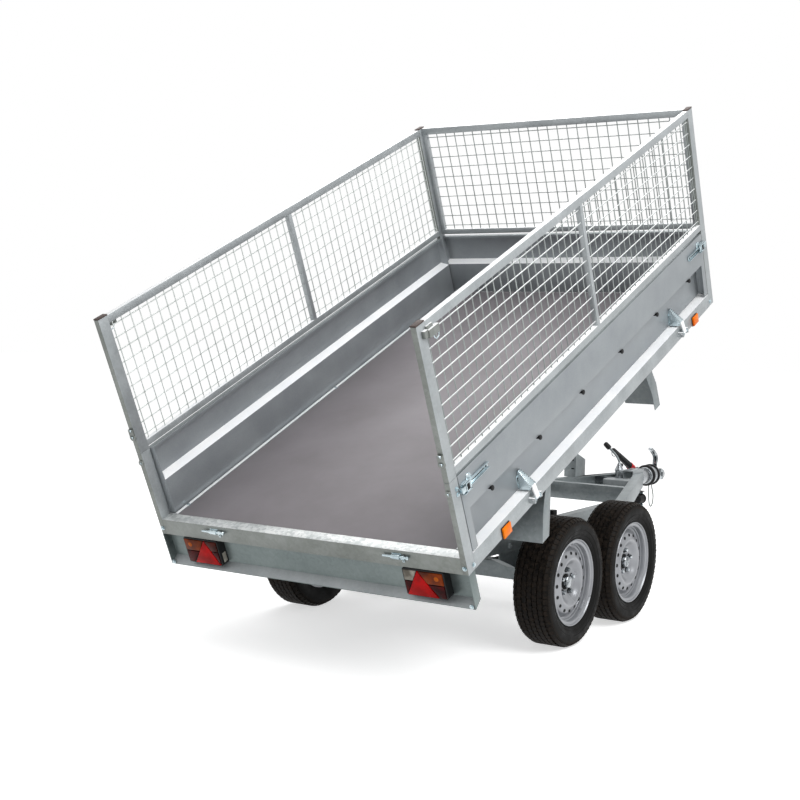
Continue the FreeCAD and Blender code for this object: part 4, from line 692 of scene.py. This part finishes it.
def addHingeBracket(form, along):
    # A folded bracket: sloping face narrowing upwards, a cheek each side, a knuckle, a tongue over the rail.
    verts = addSlab(form, hinge["face"], [Vector(p) + Vector(hinge["behind"]) for p in hinge["face"]])
    for way in (-1, 1):
        outer, inner = ([(x, way * (y - deep), z) for x, y, z in hinge["cheek"]]
                        for deep in (0, hinge["cheekThick"]))
        verts += addSlab(form, outer, inner)
        (x, y, z), (stepX, stepY, stepZ) = hinge["firstNotch"], hinge["notchStep"]
        # the notches are dark bars of painted shadow
        addRow(form, (x, along + way * y, z), (stepX, way * stepY, stepZ), hinge["notches"],
               hinge["notchRadius"], hinge["notchLong"], (0, hinge["slope"], 0), slot=1)
    # the tongue takes the near-white zinc: painted highlight
    verts += addPrism(form, hinge["tongue"], "Y", -hinge["tongueHalf"], hinge["tongueHalf"], 2)
    verts += addLathe(form, hinge["knuckle"], hinge["pin"], "Y", 24)
    verts += addBox(form, *hinge["hook"])
    # the hook's slot is a dark patch of painted shadow
    verts += addBox(form, *hinge["hookSlot"])
    moved(verts, Matrix.Translation((0, along, 0)))


def addLatch(form, end, way):
    # An over-centre latch: a folded case with a square window, and a slotted lever with a holed tip.
    for x0, x1, near, far, z0, z1, slot in latchBoxes.values():
        addBox(form, x0, x1, end + way * near, end + way * far, z0, z1, slot)
    hole, cap, *pin = ((x, end + way * along, z) for x, along, z in (
        latchRounds["holeSpot"], latchRounds["capSpot"], *latchRounds["pin"]))
    # the lever's hole is a dark disc of painted shadow
    addLathe(form, latchRounds["hole"], hole, "X", 16, 1)
    addLathe(form, latchRounds["cap"], cap, "X", 28)
    addTube(form, pin, latchRounds["pinRadius"], 10)


for side, tag in ((1, "right"), (-1, "left")):
    body = "board_" + tag
    boardSpace = bedSpace @ Matrix.Scale(side, 4, (1, 0, 0))
    fittingForm = bmesh.new()
    for along in hinge["along"]:
        addHingeBracket(fittingForm, along)
    for end, way in fittings["latches"]:
        addLatch(fittingForm, end, way)
    makePiece("boardFittings" + tag, fittingForm, boardSpace, body, [clearZinc, paintedHoleShadow, zincPaintedHighlight],
              ["board_fittings_" + tag], 0.5)
    knobForm = bmesh.new()
    for n in range(fittings["knobs"]):
        spot = (797, fittings["knobFirst"] + fittings["knobStep"] * n, fittings["knobZ"])
        addLathe(knobForm, fittings["knob"], spot, "X", 24)
    makePiece("ropeKnobs" + tag, knobForm, boardSpace, body, [blackPlastic], ["rope_knobs_" + tag])
print("board fittings in place")


# Gate pins on the sill and mesh latches on the rear posts

gate = {
    "pins": (-472, 478), "y": -11, "z": -24, "pinX": (-62, 56), "radius": 5.5, "endX": 55, "post": 797.3,
    "pinEnd": [(-7, 0), (-6, 5), (-2, 8.5), (3, 8.5), (6, 5), (7, 0)],
    "sleeve": [(-20, 6), (-20, 9.5), (20, 9.5), (20, 6)],
    "ringAt": (812, 97, 898), "ringHalf": (18, 17), "ringThick": 2.6, "ringSteps": 20,
}
pinBoxes = {  # X from the pin's middle, Y, Z and the slot; the catch's slot is a dark patch of painted shadow
    "plate": (-22, 22, -3.3, -0.3, -42, -12, 0), "saddle": (-20, 20, -12, -2, -36, -32, 0),
    "catch": (30, 40, -14, -5, -44, -16, 0), "catchSlot": (33, 37, -14.4, -14, -40, -31, 1),
}
meshLatchBoxes = {  # out to X, Y, Z
    "sleeve": (815, 51, 122, 899, 929), "flange": (805, 54, 96, 929, 943), "keeper": (812, 27, 50, 906, 934),
}
gateForm = bmesh.new()
for x in gate["pins"]:
    y, z = gate["y"], gate["z"]
    addTube(gateForm, [(x + reach, y, z) for reach in gate["pinX"]], gate["radius"], 16)
    addLathe(gateForm, gate["pinEnd"], (x + gate["endX"], y, z), "X", 20)
    addLathe(gateForm, gate["sleeve"], (x, y, z), "X", 20)
    for x0, x1, *rest in pinBoxes.values():
        addBox(gateForm, x + x0, x + x1, *rest)
(ringX, ringY, ringZ), (wide, tall), steps = gate["ringAt"], gate["ringHalf"], gate["ringSteps"]
turns = [2 * math.pi * k / steps for k in range(steps + 1)]
for side in (1, -1):
    for out, *rest in meshLatchBoxes.values():
        # the mesh latches take the darker zinc as painted shade
        addBox(gateForm, side * gate["post"], side * out, *rest, 2)
    ring = [(side * ringX, ringY + wide * math.cos(a), ringZ + tall * math.sin(a)) for a in turns]
    addTube(gateForm, ring, gate["ringThick"], 8)
gatePiece = makePiece("gateHingesAndLatches", gateForm, bedSpace, bedBody, [clearZinc, paintedHoleShadow, zincPaintedGroundShade],
                      ["gate_hinges_and_latches"], 0.6)
# the latches' tops take the near-white zinc: painted highlight
paintLightAndShadeOnFaces(gatePiece, zincPaintedHighlight, above=900)


# Lamps: a black housing, a red triangle reflector and four lens fields around it

lamp = {
    "outline": [(489.5, -208), (672.5, -208), (678.5, -202), (678.5, -86), (672.5, -80), (489.5, -80),
                (483.5, -86), (483.5, -202)],
    "caseY": (1, 45), "lensY": (-4, 3), "reflectorY": (-5, 3),
    "reflector": [(557, -85), (636, -202), (492, -202)],
    "lenses": (  # with their materials' numbers below; the first is clear on the right lamp
        ([(490.5, -87), (552, -87), (527, -133), (490.5, -133)], 4),
        ([(490.5, -138), (524, -138), (492.5, -196), (490.5, -196)], 2),
        ([(563, -87), (671.5, -87), (671.5, -140), (596, -140)], 3),
        ([(600, -145), (671.5, -145), (671.5, -201), (644, -201)], 2)),
    "bulb": [(0, 0), (0.5, 11), (3, 11), (3, 0)], "bulbSpot": (642.5, -4.8, -112),
    "sideLens": (482, 484.5, 14, 36, -196, -150, 5),
}


def tailLamp(side, tag):
    form = bmesh.new()
    addPrism(form, lamp["outline"], "Y", *lamp["caseY"])
    addPrism(form, lamp["reflector"], "Y", *lamp["reflectorY"], 1)
    for corners, slot in lamp["lenses"]:
        clear = slot == 4 and side > 0
        addPrism(form, corners, "Y", *lamp["lensY"], 5 if clear else slot)
    addLathe(form, lamp["bulb"], lamp["bulbSpot"], "Y", 20, 6)
    addBox(form, *lamp["sideLens"])
    makePiece("tailLamp" + tag, form, bedSpace @ Matrix.Scale(side, 4, (1, 0, 0)), bedBody,
              [blackPlastic, redReflector, redLens, amberLens, darkAmber, clearLens, bulbGlow],
              ["tail_lamp_" + tag.lower()], 0.8)


tailLamp(1, "Right")
tailLamp(-1, "Left")

marker = {"y": (318, 2450), "halfLong": 35, "z": (-82, -32), "layers": ((797, 3.5, 0, 1), (800, 8, -2.5, 0))}
markerForm = bmesh.new()
for side in (1, -1):
    for y in marker["y"]:
        for x, thick, grow, slot in marker["layers"]:
            reach = marker["halfLong"] + grow
            addBox(markerForm, side * x, side * (x + thick), y - reach, y + reach, marker["z"][0] - grow,
                   marker["z"][1] + grow, slot)
makePiece("sideMarkers", markerForm, bedSpace, bedBody, [amberReflector, blackPlastic], ["side_markers"], 1.0)
print("lamps and markers fitted")


# Chassis: each solid with its body, its finish and its edge's rounding

frameSolids = ("chassis_rail_left", "chassis_rail_right", "axle_beams", "drawbar_left", "drawbar_right",
               "chassis_cross_members")
for node, body, material, rounding in (
        *((node, groundBody, zincPaintedShade, 1.2) for node in frameSolids),
        ("coupling_head", groundBody, brightSteel, 2.5), ("pump_tank", groundBody, greyEnamel, 1.5),
        ("axle_front", groundBody, zincPaintedShade, 1.5), ("axle_rear", groundBody, zincPaintedShade, 1.5),
        ("parked_plug", groundBody, blackPlastic, 1.0), ("bed_rests", groundBody, blackRubber, 1.5),
        ("jockey_inner", "jockey_leg", turnedSteel, 0.6), ("jockey_fork", "jockey_caster", zincFrame, 0.8),
        ("jockey_wheel", "jockey_roller", blackPlastic, 0.0), ("cylinder_barrel", "barrel", greyEnamel, 0.8),
        *(("cylinder_" + body, body, turnedSteel, 0.6) for body in ("stage_one", "stage_two", "ram"))):
    softened(node, body, material, rounding)

# Overrun housing: a folded box open below, a round sleeve before it and the lever's seat plate
housing = {
    "rear": 2000, "boxFront": 2150, "sleeveStart": 2140.3, "half": 38, "wall": 5, "low": 425, "top": 528,
    "axis": 473,
    "sleeve": [(0, 29), (0, 46), (2, 48), (107.4, 48), (108.4, 45), (118.4, 45), (120.4, 43), (121.4, 29)],
    "nipple": [(0, 0), (0, 6), (6, 6), (8, 3.5), (14, 3.5), (15, 0)], "nippleSpot": (20, 2190, 514),
}
rear, boxFront, low, top = (housing[k] for k in ("rear", "boxFront", "low", "top"))
half, within = housing["half"], housing["half"] - housing["wall"]
housingBoxes = {
    "rightCheek": (within, half, rear, boxFront, low, top, 0),
    "leftCheek": (-half, -within, rear, boxFront, low, top, 0),
    "roof": (-within, within, rear, boxFront, top - housing["wall"], top, 0),
    "nose": (-within, within, 2138, boxFront, low, top - housing["wall"], 0),
    "cover": (-28, 28, 2006, 2136, top, top + 4, 0),
    # the cover's slot is a dark patch of painted shadow
    "coverSlot": (-6, 6, 2030, 2112, top + 3.8, top + 4.4, 2),
    "leverSeat": (-46, -40, 2212, 2257, housing["axis"], top, 0),
}
housingForm = bmesh.new()
for box in housingBoxes.values():
    addBox(housingForm, *box)
addLathe(housingForm, housing["sleeve"], (0, housing["sleeveStart"], housing["axis"]), "Y", 48, 1)
addLathe(housingForm, housing["nipple"], housing["nippleSpot"], "Z", 12, 1)
makePiece("overrunHousing", housingForm, groundSpace, groundBody, [zincFrame, turnedSteel, paintedHoleShadow],
          ["overrun_housing"], 0.8)

# Gaiter: two thick rubber rings with a steel band between them, which stands in for the glossy highlight in
# the rubber's valley: a painted highlight
gaiter = {
    "start": 2262, "rubber": (*range(3, 10), *range(12, 19)),  # which steps of the profile are rubber
    "profile": [
        (0, 30), (0, 50), (3, 53), (12, 54), (13, 58), (14, 65), (17, 67), (23, 67), (26, 65), (27, 58),
        (28, 57), (55, 60), (84, 57), (86, 58), (87, 65), (90, 67), (96, 67), (99, 65), (100, 58), (101, 54),
        (110, 50), (114, 44), (114, 30)],
}
gaiterForm = bmesh.new()
gaiterSlots = [0 if n in gaiter["rubber"] else 1 for n in range(len(gaiter["profile"]))]
addLathe(gaiterForm, gaiter["profile"], (0, gaiter["start"], housing["axis"]), "Y", 56, 1, gaiterSlots)
makePiece("gaiter", gaiterForm, groundSpace, groundBody, [blackRubber, turnedSteel], ["bellows"], creased=50)

# Handbrake: black grip and red collar on a steel arm, with the thin release bar bent over the grip's end
brake = {
    "pivot": (-60, 2232, 508), "lean": 64.7, "arm": 60, "armRadius": 10, "barRadius": 2.8,
    "ribs": 9, "ribFirst": 84, "ribStep": 22, "ribTaper": 0.55,
    "rib": ((0, 21.4), (14, 21.0), (16, 19.2), (20, 19.0)),
    "collar": [(28, 10), (28, 22), (31, 24), (80, 24), (83, 22), (83, 10)],
    "boss": [(-12, 0), (-12, 18), (-10, 20), (11, 20), (13, 18), (13, 0)],
    "bar": [(0, -4, 358), (0, -12, 371), (0, -28, 368), (0, -35, 348), (0, -30, 318)],
}
leverSpace = Matrix.Translation(brake["pivot"]) @ Matrix.Rotation(math.radians(brake["lean"]), 4, "X")
gripProfile = [(80, 0), (80, 21)]
for n in range(brake["ribs"]):
    start = brake["ribFirst"] + n * brake["ribStep"]
    gripProfile += [(start + along, radius - n * brake["ribTaper"]) for along, radius in brake["rib"]]
gripProfile += [(290, 15.5), (352, 14), (362, 11), (368, 0)]
brakeForm = bmesh.new()
parts = addLathe(brakeForm, brake["collar"], axis="Z", sides=32, slot=1)
parts += addLathe(brakeForm, gripProfile, axis="Z", sides=28)
parts += addTube(brakeForm, [(0, 0, 0), (0, 0, brake["arm"])], brake["armRadius"], 20, 2)
parts += addLathe(brakeForm, brake["boss"], sides=28, slot=2)
parts += addTube(brakeForm, roundedPath(brake["bar"]), brake["barRadius"], 10, 2)
moved(parts, leverSpace)
makePiece("handbrakeLever", brakeForm, groundSpace, groundBody, [blackPlastic, redPlastic, brightSteel],
          ["handbrake"], 0.5)

# Jockey stand: tube with its cone, clamp plate, cranked handle and the clamp's small lever
jockey = {
    "foot": (0, 1870, 0), "plate": (-140.1, 140.1, 1836, 1848, 432, 500),
    "tube": [(312, 21.5), (312, 24), (538, 24), (541, 27), (548, 27), (552, 24), (586, 9), (590, 7), (590, 0),
             (535, 0), (535, 21.5)],
    "clamp": [(440, 24.1), (440, 31), (492, 31), (492, 24.1)],
    "crank": ((0, 1870, 580), (0, 1870, 598), (-20, 1870, 632), (-76, 1870, 682)), "crankRadius": 6.5,
    "crankKnob": [(-4, 0), (-4, 9), (0, 15), (12, 16), (34, 15), (42, 12), (44, 0)],
    "crankKnobSpot": (-68, 1870, 674), "crankKnobTurn": -48.2,
    "clampPin": ((0, 1882, 520), (0, 1899, 566)), "clampPinRadius": 4, "clampKnobSpot": (0, 1899, 572),
    "clampKnob": [(-13, 0), (-11, 7), (-5, 12), (3, 13), (9, 9), (12, 0)],
}
jockeyForm = bmesh.new()
addLathe(jockeyForm, jockey["tube"], jockey["foot"], "Z", 40)
addBox(jockeyForm, *jockey["plate"])
addLathe(jockeyForm, jockey["clamp"], jockey["foot"], "Z", 40)
addTube(jockeyForm, roundedPath(jockey["crank"], 8), jockey["crankRadius"], 16, 1)
addTube(jockeyForm, jockey["clampPin"], jockey["clampPinRadius"], 10, 1)
addLathe(jockeyForm, jockey["clampKnob"], jockey["clampKnobSpot"], "Z", 20, 2)
knob = addLathe(jockeyForm, jockey["crankKnob"], axis="Z", sides=24, slot=2)
knobTurn = Matrix.Rotation(math.radians(jockey["crankKnobTurn"]), 4, "Y")
moved(knob, Matrix.Translation(jockey["crankKnobSpot"]) @ knobTurn)
makePiece("jockeyStand", jockeyForm, groundSpace, groundBody, [turnedSteel, zincPaintedShade, blackPlastic],
          ["jockey_outer"], 0.6)

# The parked plug's strap, the holes in the bracket on the left drawbar as patches of painted shadow, and the
# bolts along the chassis
strapBoxes = {"upright": (88, 112, 1984, 1988, 328, 414), "tongue": (84, 122, 1924, 1988, 326, 330)}
strapForm = bmesh.new()
for box in strapBoxes.values():
    addBox(strapForm, *box)
makePiece("plugStrap", strapForm, groundSpace, groundBody, [clearZinc], bevel=0.5)
bracket = {
    "face": (1621.4, 1622.2),  # Y of the painted shadow patches, just proud of the bracket
    "holes": ((-226, 622, 12, 12), (-226, 590, 12, 12), (-196, 632, 22, 7), (-196, 612, 22, 7),
              (-190, 560, 20, 7)),
}
bracketForm = bmesh.new()
for x, z, wide, tall in bracket["holes"]:
    addBox(bracketForm, x - wide / 2, x + wide / 2, *bracket["face"], z - tall / 2, z + tall / 2)
makePiece("bracketHolePaintedShadows", bracketForm, groundSpace, groundBody, [paintedHoleShadow])
chassisBolts = []
for side in (1, -1):
    for z, row in ((438, (-400, -120, 140, 420, 600)), (378, (-260, 0, 260, 520))):
        chassisBolts += [((side * 485, y, z), (side, 0, 0)) for y in row]
boltPiece("chassisBolts", chassisBolts, groundSpace, groundBody, zincFrame,
          {"Head": 10, "Washer": 14, "Height": 9})
print("chassis and coupling dressed")


# Wheels

wheel = {
    "x": 698, "y": 317, "z": 292, "blocks": 64, "ribs": (-50, -25, 0, 25, 50), "ribSkew": 0.17,
    "ribStagger": 0.37,
    "tread": {"Radius": 288.4, "Block": (20.4, 26.6, 7.0)},
    "shoulder": {"Radius": 280.5, "Phase": 0.5, "Block": (19, 25.4, 8.0)},
    "shoulderTurned": {"Aside": 73.5, "Lean": 0.52, "Skew": 0.1},  # the other way round on the inner side
    "sidewall": {"Count": 128, "Radius": 268, "Phase": 0.2, "Block": (14, 8.5, 3.6)},
    "sidewallTurned": {"Aside": 84.2, "Lean": 1.28},
    "discHoles": {"Count": 16, "Radius": 131, "Aside": 54.2, "Lean": quarter - 0.22, "Sides": 14, "Unit": 0.5,
                  "Block": (15, 18, 4.0)},
    "nuts": 5, "nutCircle": 56, "nutStart": 0.3, "discFace": 33,
}
tyreProfile = [
    (-63, 178), (-72, 197), (-79, 209), (-84, 222), (-87.5, 236), (-89, 248), (-87.5, 262), (-84, 272),
    (-76, 280.5), (-66, 284.5), (-58, 285.5), (58, 285.5), (66, 284.5), (76, 280.5), (84, 272), (87.5, 262),
    (89, 248), (88.4, 240), (86.4, 238), (86.2, 235), (87.4, 233.5), (86, 226), (83, 219), (81.2, 218),
    (80.4, 215), (81.4, 213.5), (79, 209), (76, 203.5), (74, 203), (72, 197), (63, 178)]
rimProfile = [
    (-77, 195), (-72, 195), (-68, 178), (-40, 177), (-26, 160), (14, 160), (32, 177), (66, 177.5), (70, 186),
    (72, 195), (75, 196), (77, 194.5), (77, 191), (74, 189), (69, 187.5), (66, 183), (64, 177), (60, 175.5),
    (47, 174.5), (45, 171), (38, 170), (34, 166), (33, 160), (37, 153), (45, 147), (51, 141), (54.5, 134),
    (56.5, 124), (59.5, 119), (62, 114), (63, 108), (61.5, 101), (55, 93), (46, 85), (38, 77), (34, 68),
    (32, 58), (32, 40), (30, 36), (24, 36), (24, 66), (30, 80), (42, 92), (52, 103), (52, 112), (48, 126),
    (40, 140), (14, 150), (-28, 155), (-42, 172), (-72, 173)]
hubParts = (  # profile, sides and slot: the drum behind the disc in painted shade, the dust cap and a painted shadow ring round it
    ([(-58, 21), (-58, 104), (22, 104), (22, 21)], 48, 1),
    ([(22, 0), (22, 27), (48, 27), (51, 25), (52.5, 20), (53, 0)], 40, 2),
    ([(32.2, 0), (32.2, 35.5), (33.4, 35.5), (33.4, 0)], 40, 1))
nutParts = (  # the seat as a painted shadow and the bolt's head
    ([(-1, 0), (-1, 15), (0.6, 15), (0.6, 0)], 20, 1),
    ([(0, 0), (0, 11), (12, 10), (17, 8), (19.5, 4), (20, 0)], 12, 2))


def addRing(form, ring, **settings):
    # One ring of blocks under the form's second material, square and unturned where nothing else is given.
    square = {"Count": wheel["blocks"], "Phase": 0, "Skew": 0, "Lean": 0, "Sides": 4, "Unit": math.sqrt(0.5)}
    addGrown(form, 1, wheelRing, {**square, **ring, **settings})


for spot, side, alongY in (("front_right", 1, 1), ("rear_right", 1, -1), ("front_left", -1, 1),
                           ("rear_left", -1, -1)):
    space = (groundSpace @ Matrix.Translation((side * wheel["x"], alongY * wheel["y"], wheel["z"]))
             @ Matrix.Rotation(0 if side > 0 else math.pi, 4, "Z"))
    tyreForm = bmesh.new()
    addLathe(tyreForm, tyreProfile, sides=120, slots=[0] * 8 + [1] * 5 + [0] * 18)
    for n, aside in enumerate(wheel["ribs"]):
        addRing(tyreForm, wheel["tread"], Aside=aside, Phase=(n % 3) * wheel["ribStagger"],
                Skew=wheel["ribSkew"] if n % 2 else -wheel["ribSkew"])
    for way in (-1, 1):
        for ring in ("shoulder", "sidewall"):
            turned = {name: way * amount for name, amount in wheel[ring + "Turned"].items()}
            addRing(tyreForm, wheel[ring], **turned)
    makePiece("tyreTread_" + spot, tyreForm, space, "wheel_" + spot, [tyreSide, tyreTread], ["tyre_" + spot],
              creased=40)
    rimForm = bmesh.new()
    addLathe(rimForm, rimProfile, sides=96)
    for profile, sides, slot in hubParts:
        addLathe(rimForm, profile, sides=sides, slot=slot)
    # the disc's holes are dark discs of painted shadow
    addRing(rimForm, wheel["discHoles"])
    for n in range(wheel["nuts"]):
        turn = 2 * math.pi * n / wheel["nuts"] + wheel["nutStart"]
        onDisc = (wheel["discFace"], wheel["nutCircle"] * math.cos(turn), wheel["nutCircle"] * math.sin(turn))
        for profile, sides, slot in nutParts:
            addLathe(rimForm, profile, onDisc, sides=sides, slot=slot)
    makePiece("rimDisc_" + spot, rimForm, space, "wheel_" + spot, [wheelSilver, paintedHoleShadow, brightSteel],
              ["rim_" + spot], creased=28)
print("wheels built")


# Breakaway cable

cable = {"diameter": 6.0, "sides": 10}
cablePath = [
    (-12, 2397, 442.1), (-10, 2401, 409.6), (-10, 2421, 369.6), (-10, 2441, 327.6), (-9, 2435, 285.6),
    (-8, 2407, 255.6), (-7, 2375, 273.6), (-8, 2363, 317.6), (-11, 2367, 363.6), (-17, 2379, 407.6),
    (-22, 2385, 442.1)]
cableLine = roundedPath(cablePath)
cableForm = bmesh.new()
addTube(cableForm, cableLine, cable["diameter"] / 2, cable["sides"])
cablePiece = makePiece("breakawayCable", cableForm, groundSpace, groundBody, [cableSheath],
                       ["breakaway_cable"])


# Stage: floor, light and camera

stage = {
    "floorColour": "#e6e6e6", "floorGlow": 0.6, "floorHalf": 30, "floorMiddle": -2.5, "floorZ": -0.455,
    "softboxes": (("overheadSoftbox", (-1.0, -1.0, 4.2), 4.2, 110.0),
                  ("sideSoftbox", (3.7, -3.7, 4.1), 3.4, 180.0)),
    "aim": (0, -2.4, 0.4),
    "skyDiffuse": 0.58,
    "skyBands": ((0.0, "#d9dcda"), (0.4, "#e6e9ea"), (1.0, "#ffffff")),
    "camera": (3.3876, -8.2367, 1.0326),
    "azimuth": 33.80, "elevation": 6.42, "roll": 0.842,
    "lens": 61.18, "shiftX": 0.0201, "shiftY": 0.0797,
}
white = (1, 1, 1, 1)


def seenDirectly(tree):
    # 1 for the rays that show the background itself: from the camera, a reflection or through glass.
    rays = addNode(tree, "ShaderNodeLightPath").outputs
    some = addNode(tree, "ShaderNodeMath", operation="MAXIMUM", i0=rays["Is Camera Ray"],
                   i1=rays["Is Glossy Ray"])
    return addNode(tree, "ShaderNodeMath", operation="MAXIMUM", i0=some, i1=rays["Is Transmission Ray"])


floorForm = bmesh.new()
half = stage["floorHalf"]
for x, y in ((-half, -half), (half, -half), (half, half), (-half, half)):
    floorForm.verts.new((x, y + stage["floorMiddle"], stage["floorZ"]))
floorForm.faces.new(floorForm.verts[:])
floorMesh = formMesh(floorForm, "studioFloor")
floorThing = addObject("studioFloor", floorMesh)
floorMaterial, floorTree, floorShader = startMaterial("paleStudioFloor")[:3]
feed(floorShader, {"Base Color": linearColour(stage["floorColour"]), "Roughness": 0.95,
                   "Specular IOR Level": 0.1})
glowLevel = addNode(floorTree, "ShaderNodeMath", operation="MULTIPLY", i0=seenDirectly(floorTree),
                    i1=stage["floorGlow"])
glow = addNode(floorTree, "ShaderNodeEmission", Color=white, Strength=glowLevel)
together = addNode(floorTree, "ShaderNodeAddShader", i0=floorShader, i1=glow)
feed(floorTree.nodes["Material Output"], {"Surface": together})
floorMesh.materials.append(floorMaterial)

world = bpy.data.worlds.new("softSky")
bpy.context.scene.world = world
world.use_nodes = True
sky = world.node_tree
sky.nodes.clear()
direction = addNode(sky, "ShaderNodeTexCoord").outputs["Generated"]
height = addNode(sky, "ShaderNodeSeparateXYZ", Vector=direction).outputs["Z"]
band = addNode(sky, "ShaderNodeMapRange", i0=height, i1=-0.3, i2=0.9)
shade = addNode(sky, "ShaderNodeValToRGB", stage["skyBands"], Fac=band)
soft = addNode(sky, "ShaderNodeBackground", Color=shade, Strength=stage["skyDiffuse"])
plain = addNode(sky, "ShaderNodeBackground", Color=white, Strength=1.0)
choose = addNode(sky, "ShaderNodeMixShader", i0=seenDirectly(sky), i1=soft, i2=plain)
addNode(sky, "ShaderNodeOutputWorld", Surface=choose)

for name, place, boxSize, power in stage["softboxes"]:
    box = bpy.data.lights.new(name, "AREA")
    box.shape = "SQUARE"
    box.size = boxSize
    box.energy = power
    boxThing = addObject(name, box)
    boxThing.location = place
    boxThing.rotation_euler = (Vector(stage["aim"]) - Vector(place)).to_track_quat("-Z", "Y").to_euler()
    boxThing.visible_camera = False

cameraData = bpy.data.cameras.new("photoCamera")
cameraData.lens = stage["lens"]
cameraData.shift_x = stage["shiftX"]
cameraData.shift_y = stage["shiftY"]
cameraThing = addObject("photoCamera", cameraData)
azimuth, elevation, roll = (math.radians(stage[k]) for k in ("azimuth", "elevation", "roll"))
look = Matrix.Rotation(azimuth, 4, "Z") @ Matrix.Rotation(quarter - elevation, 4, "X")
cameraThing.matrix_world = Matrix.Translation(stage["camera"]) @ look @ Matrix.Rotation(roll, 4, "Z")
bpy.context.scene.camera = cameraThing
bpy.context.scene.view_settings.view_transform = "Standard"
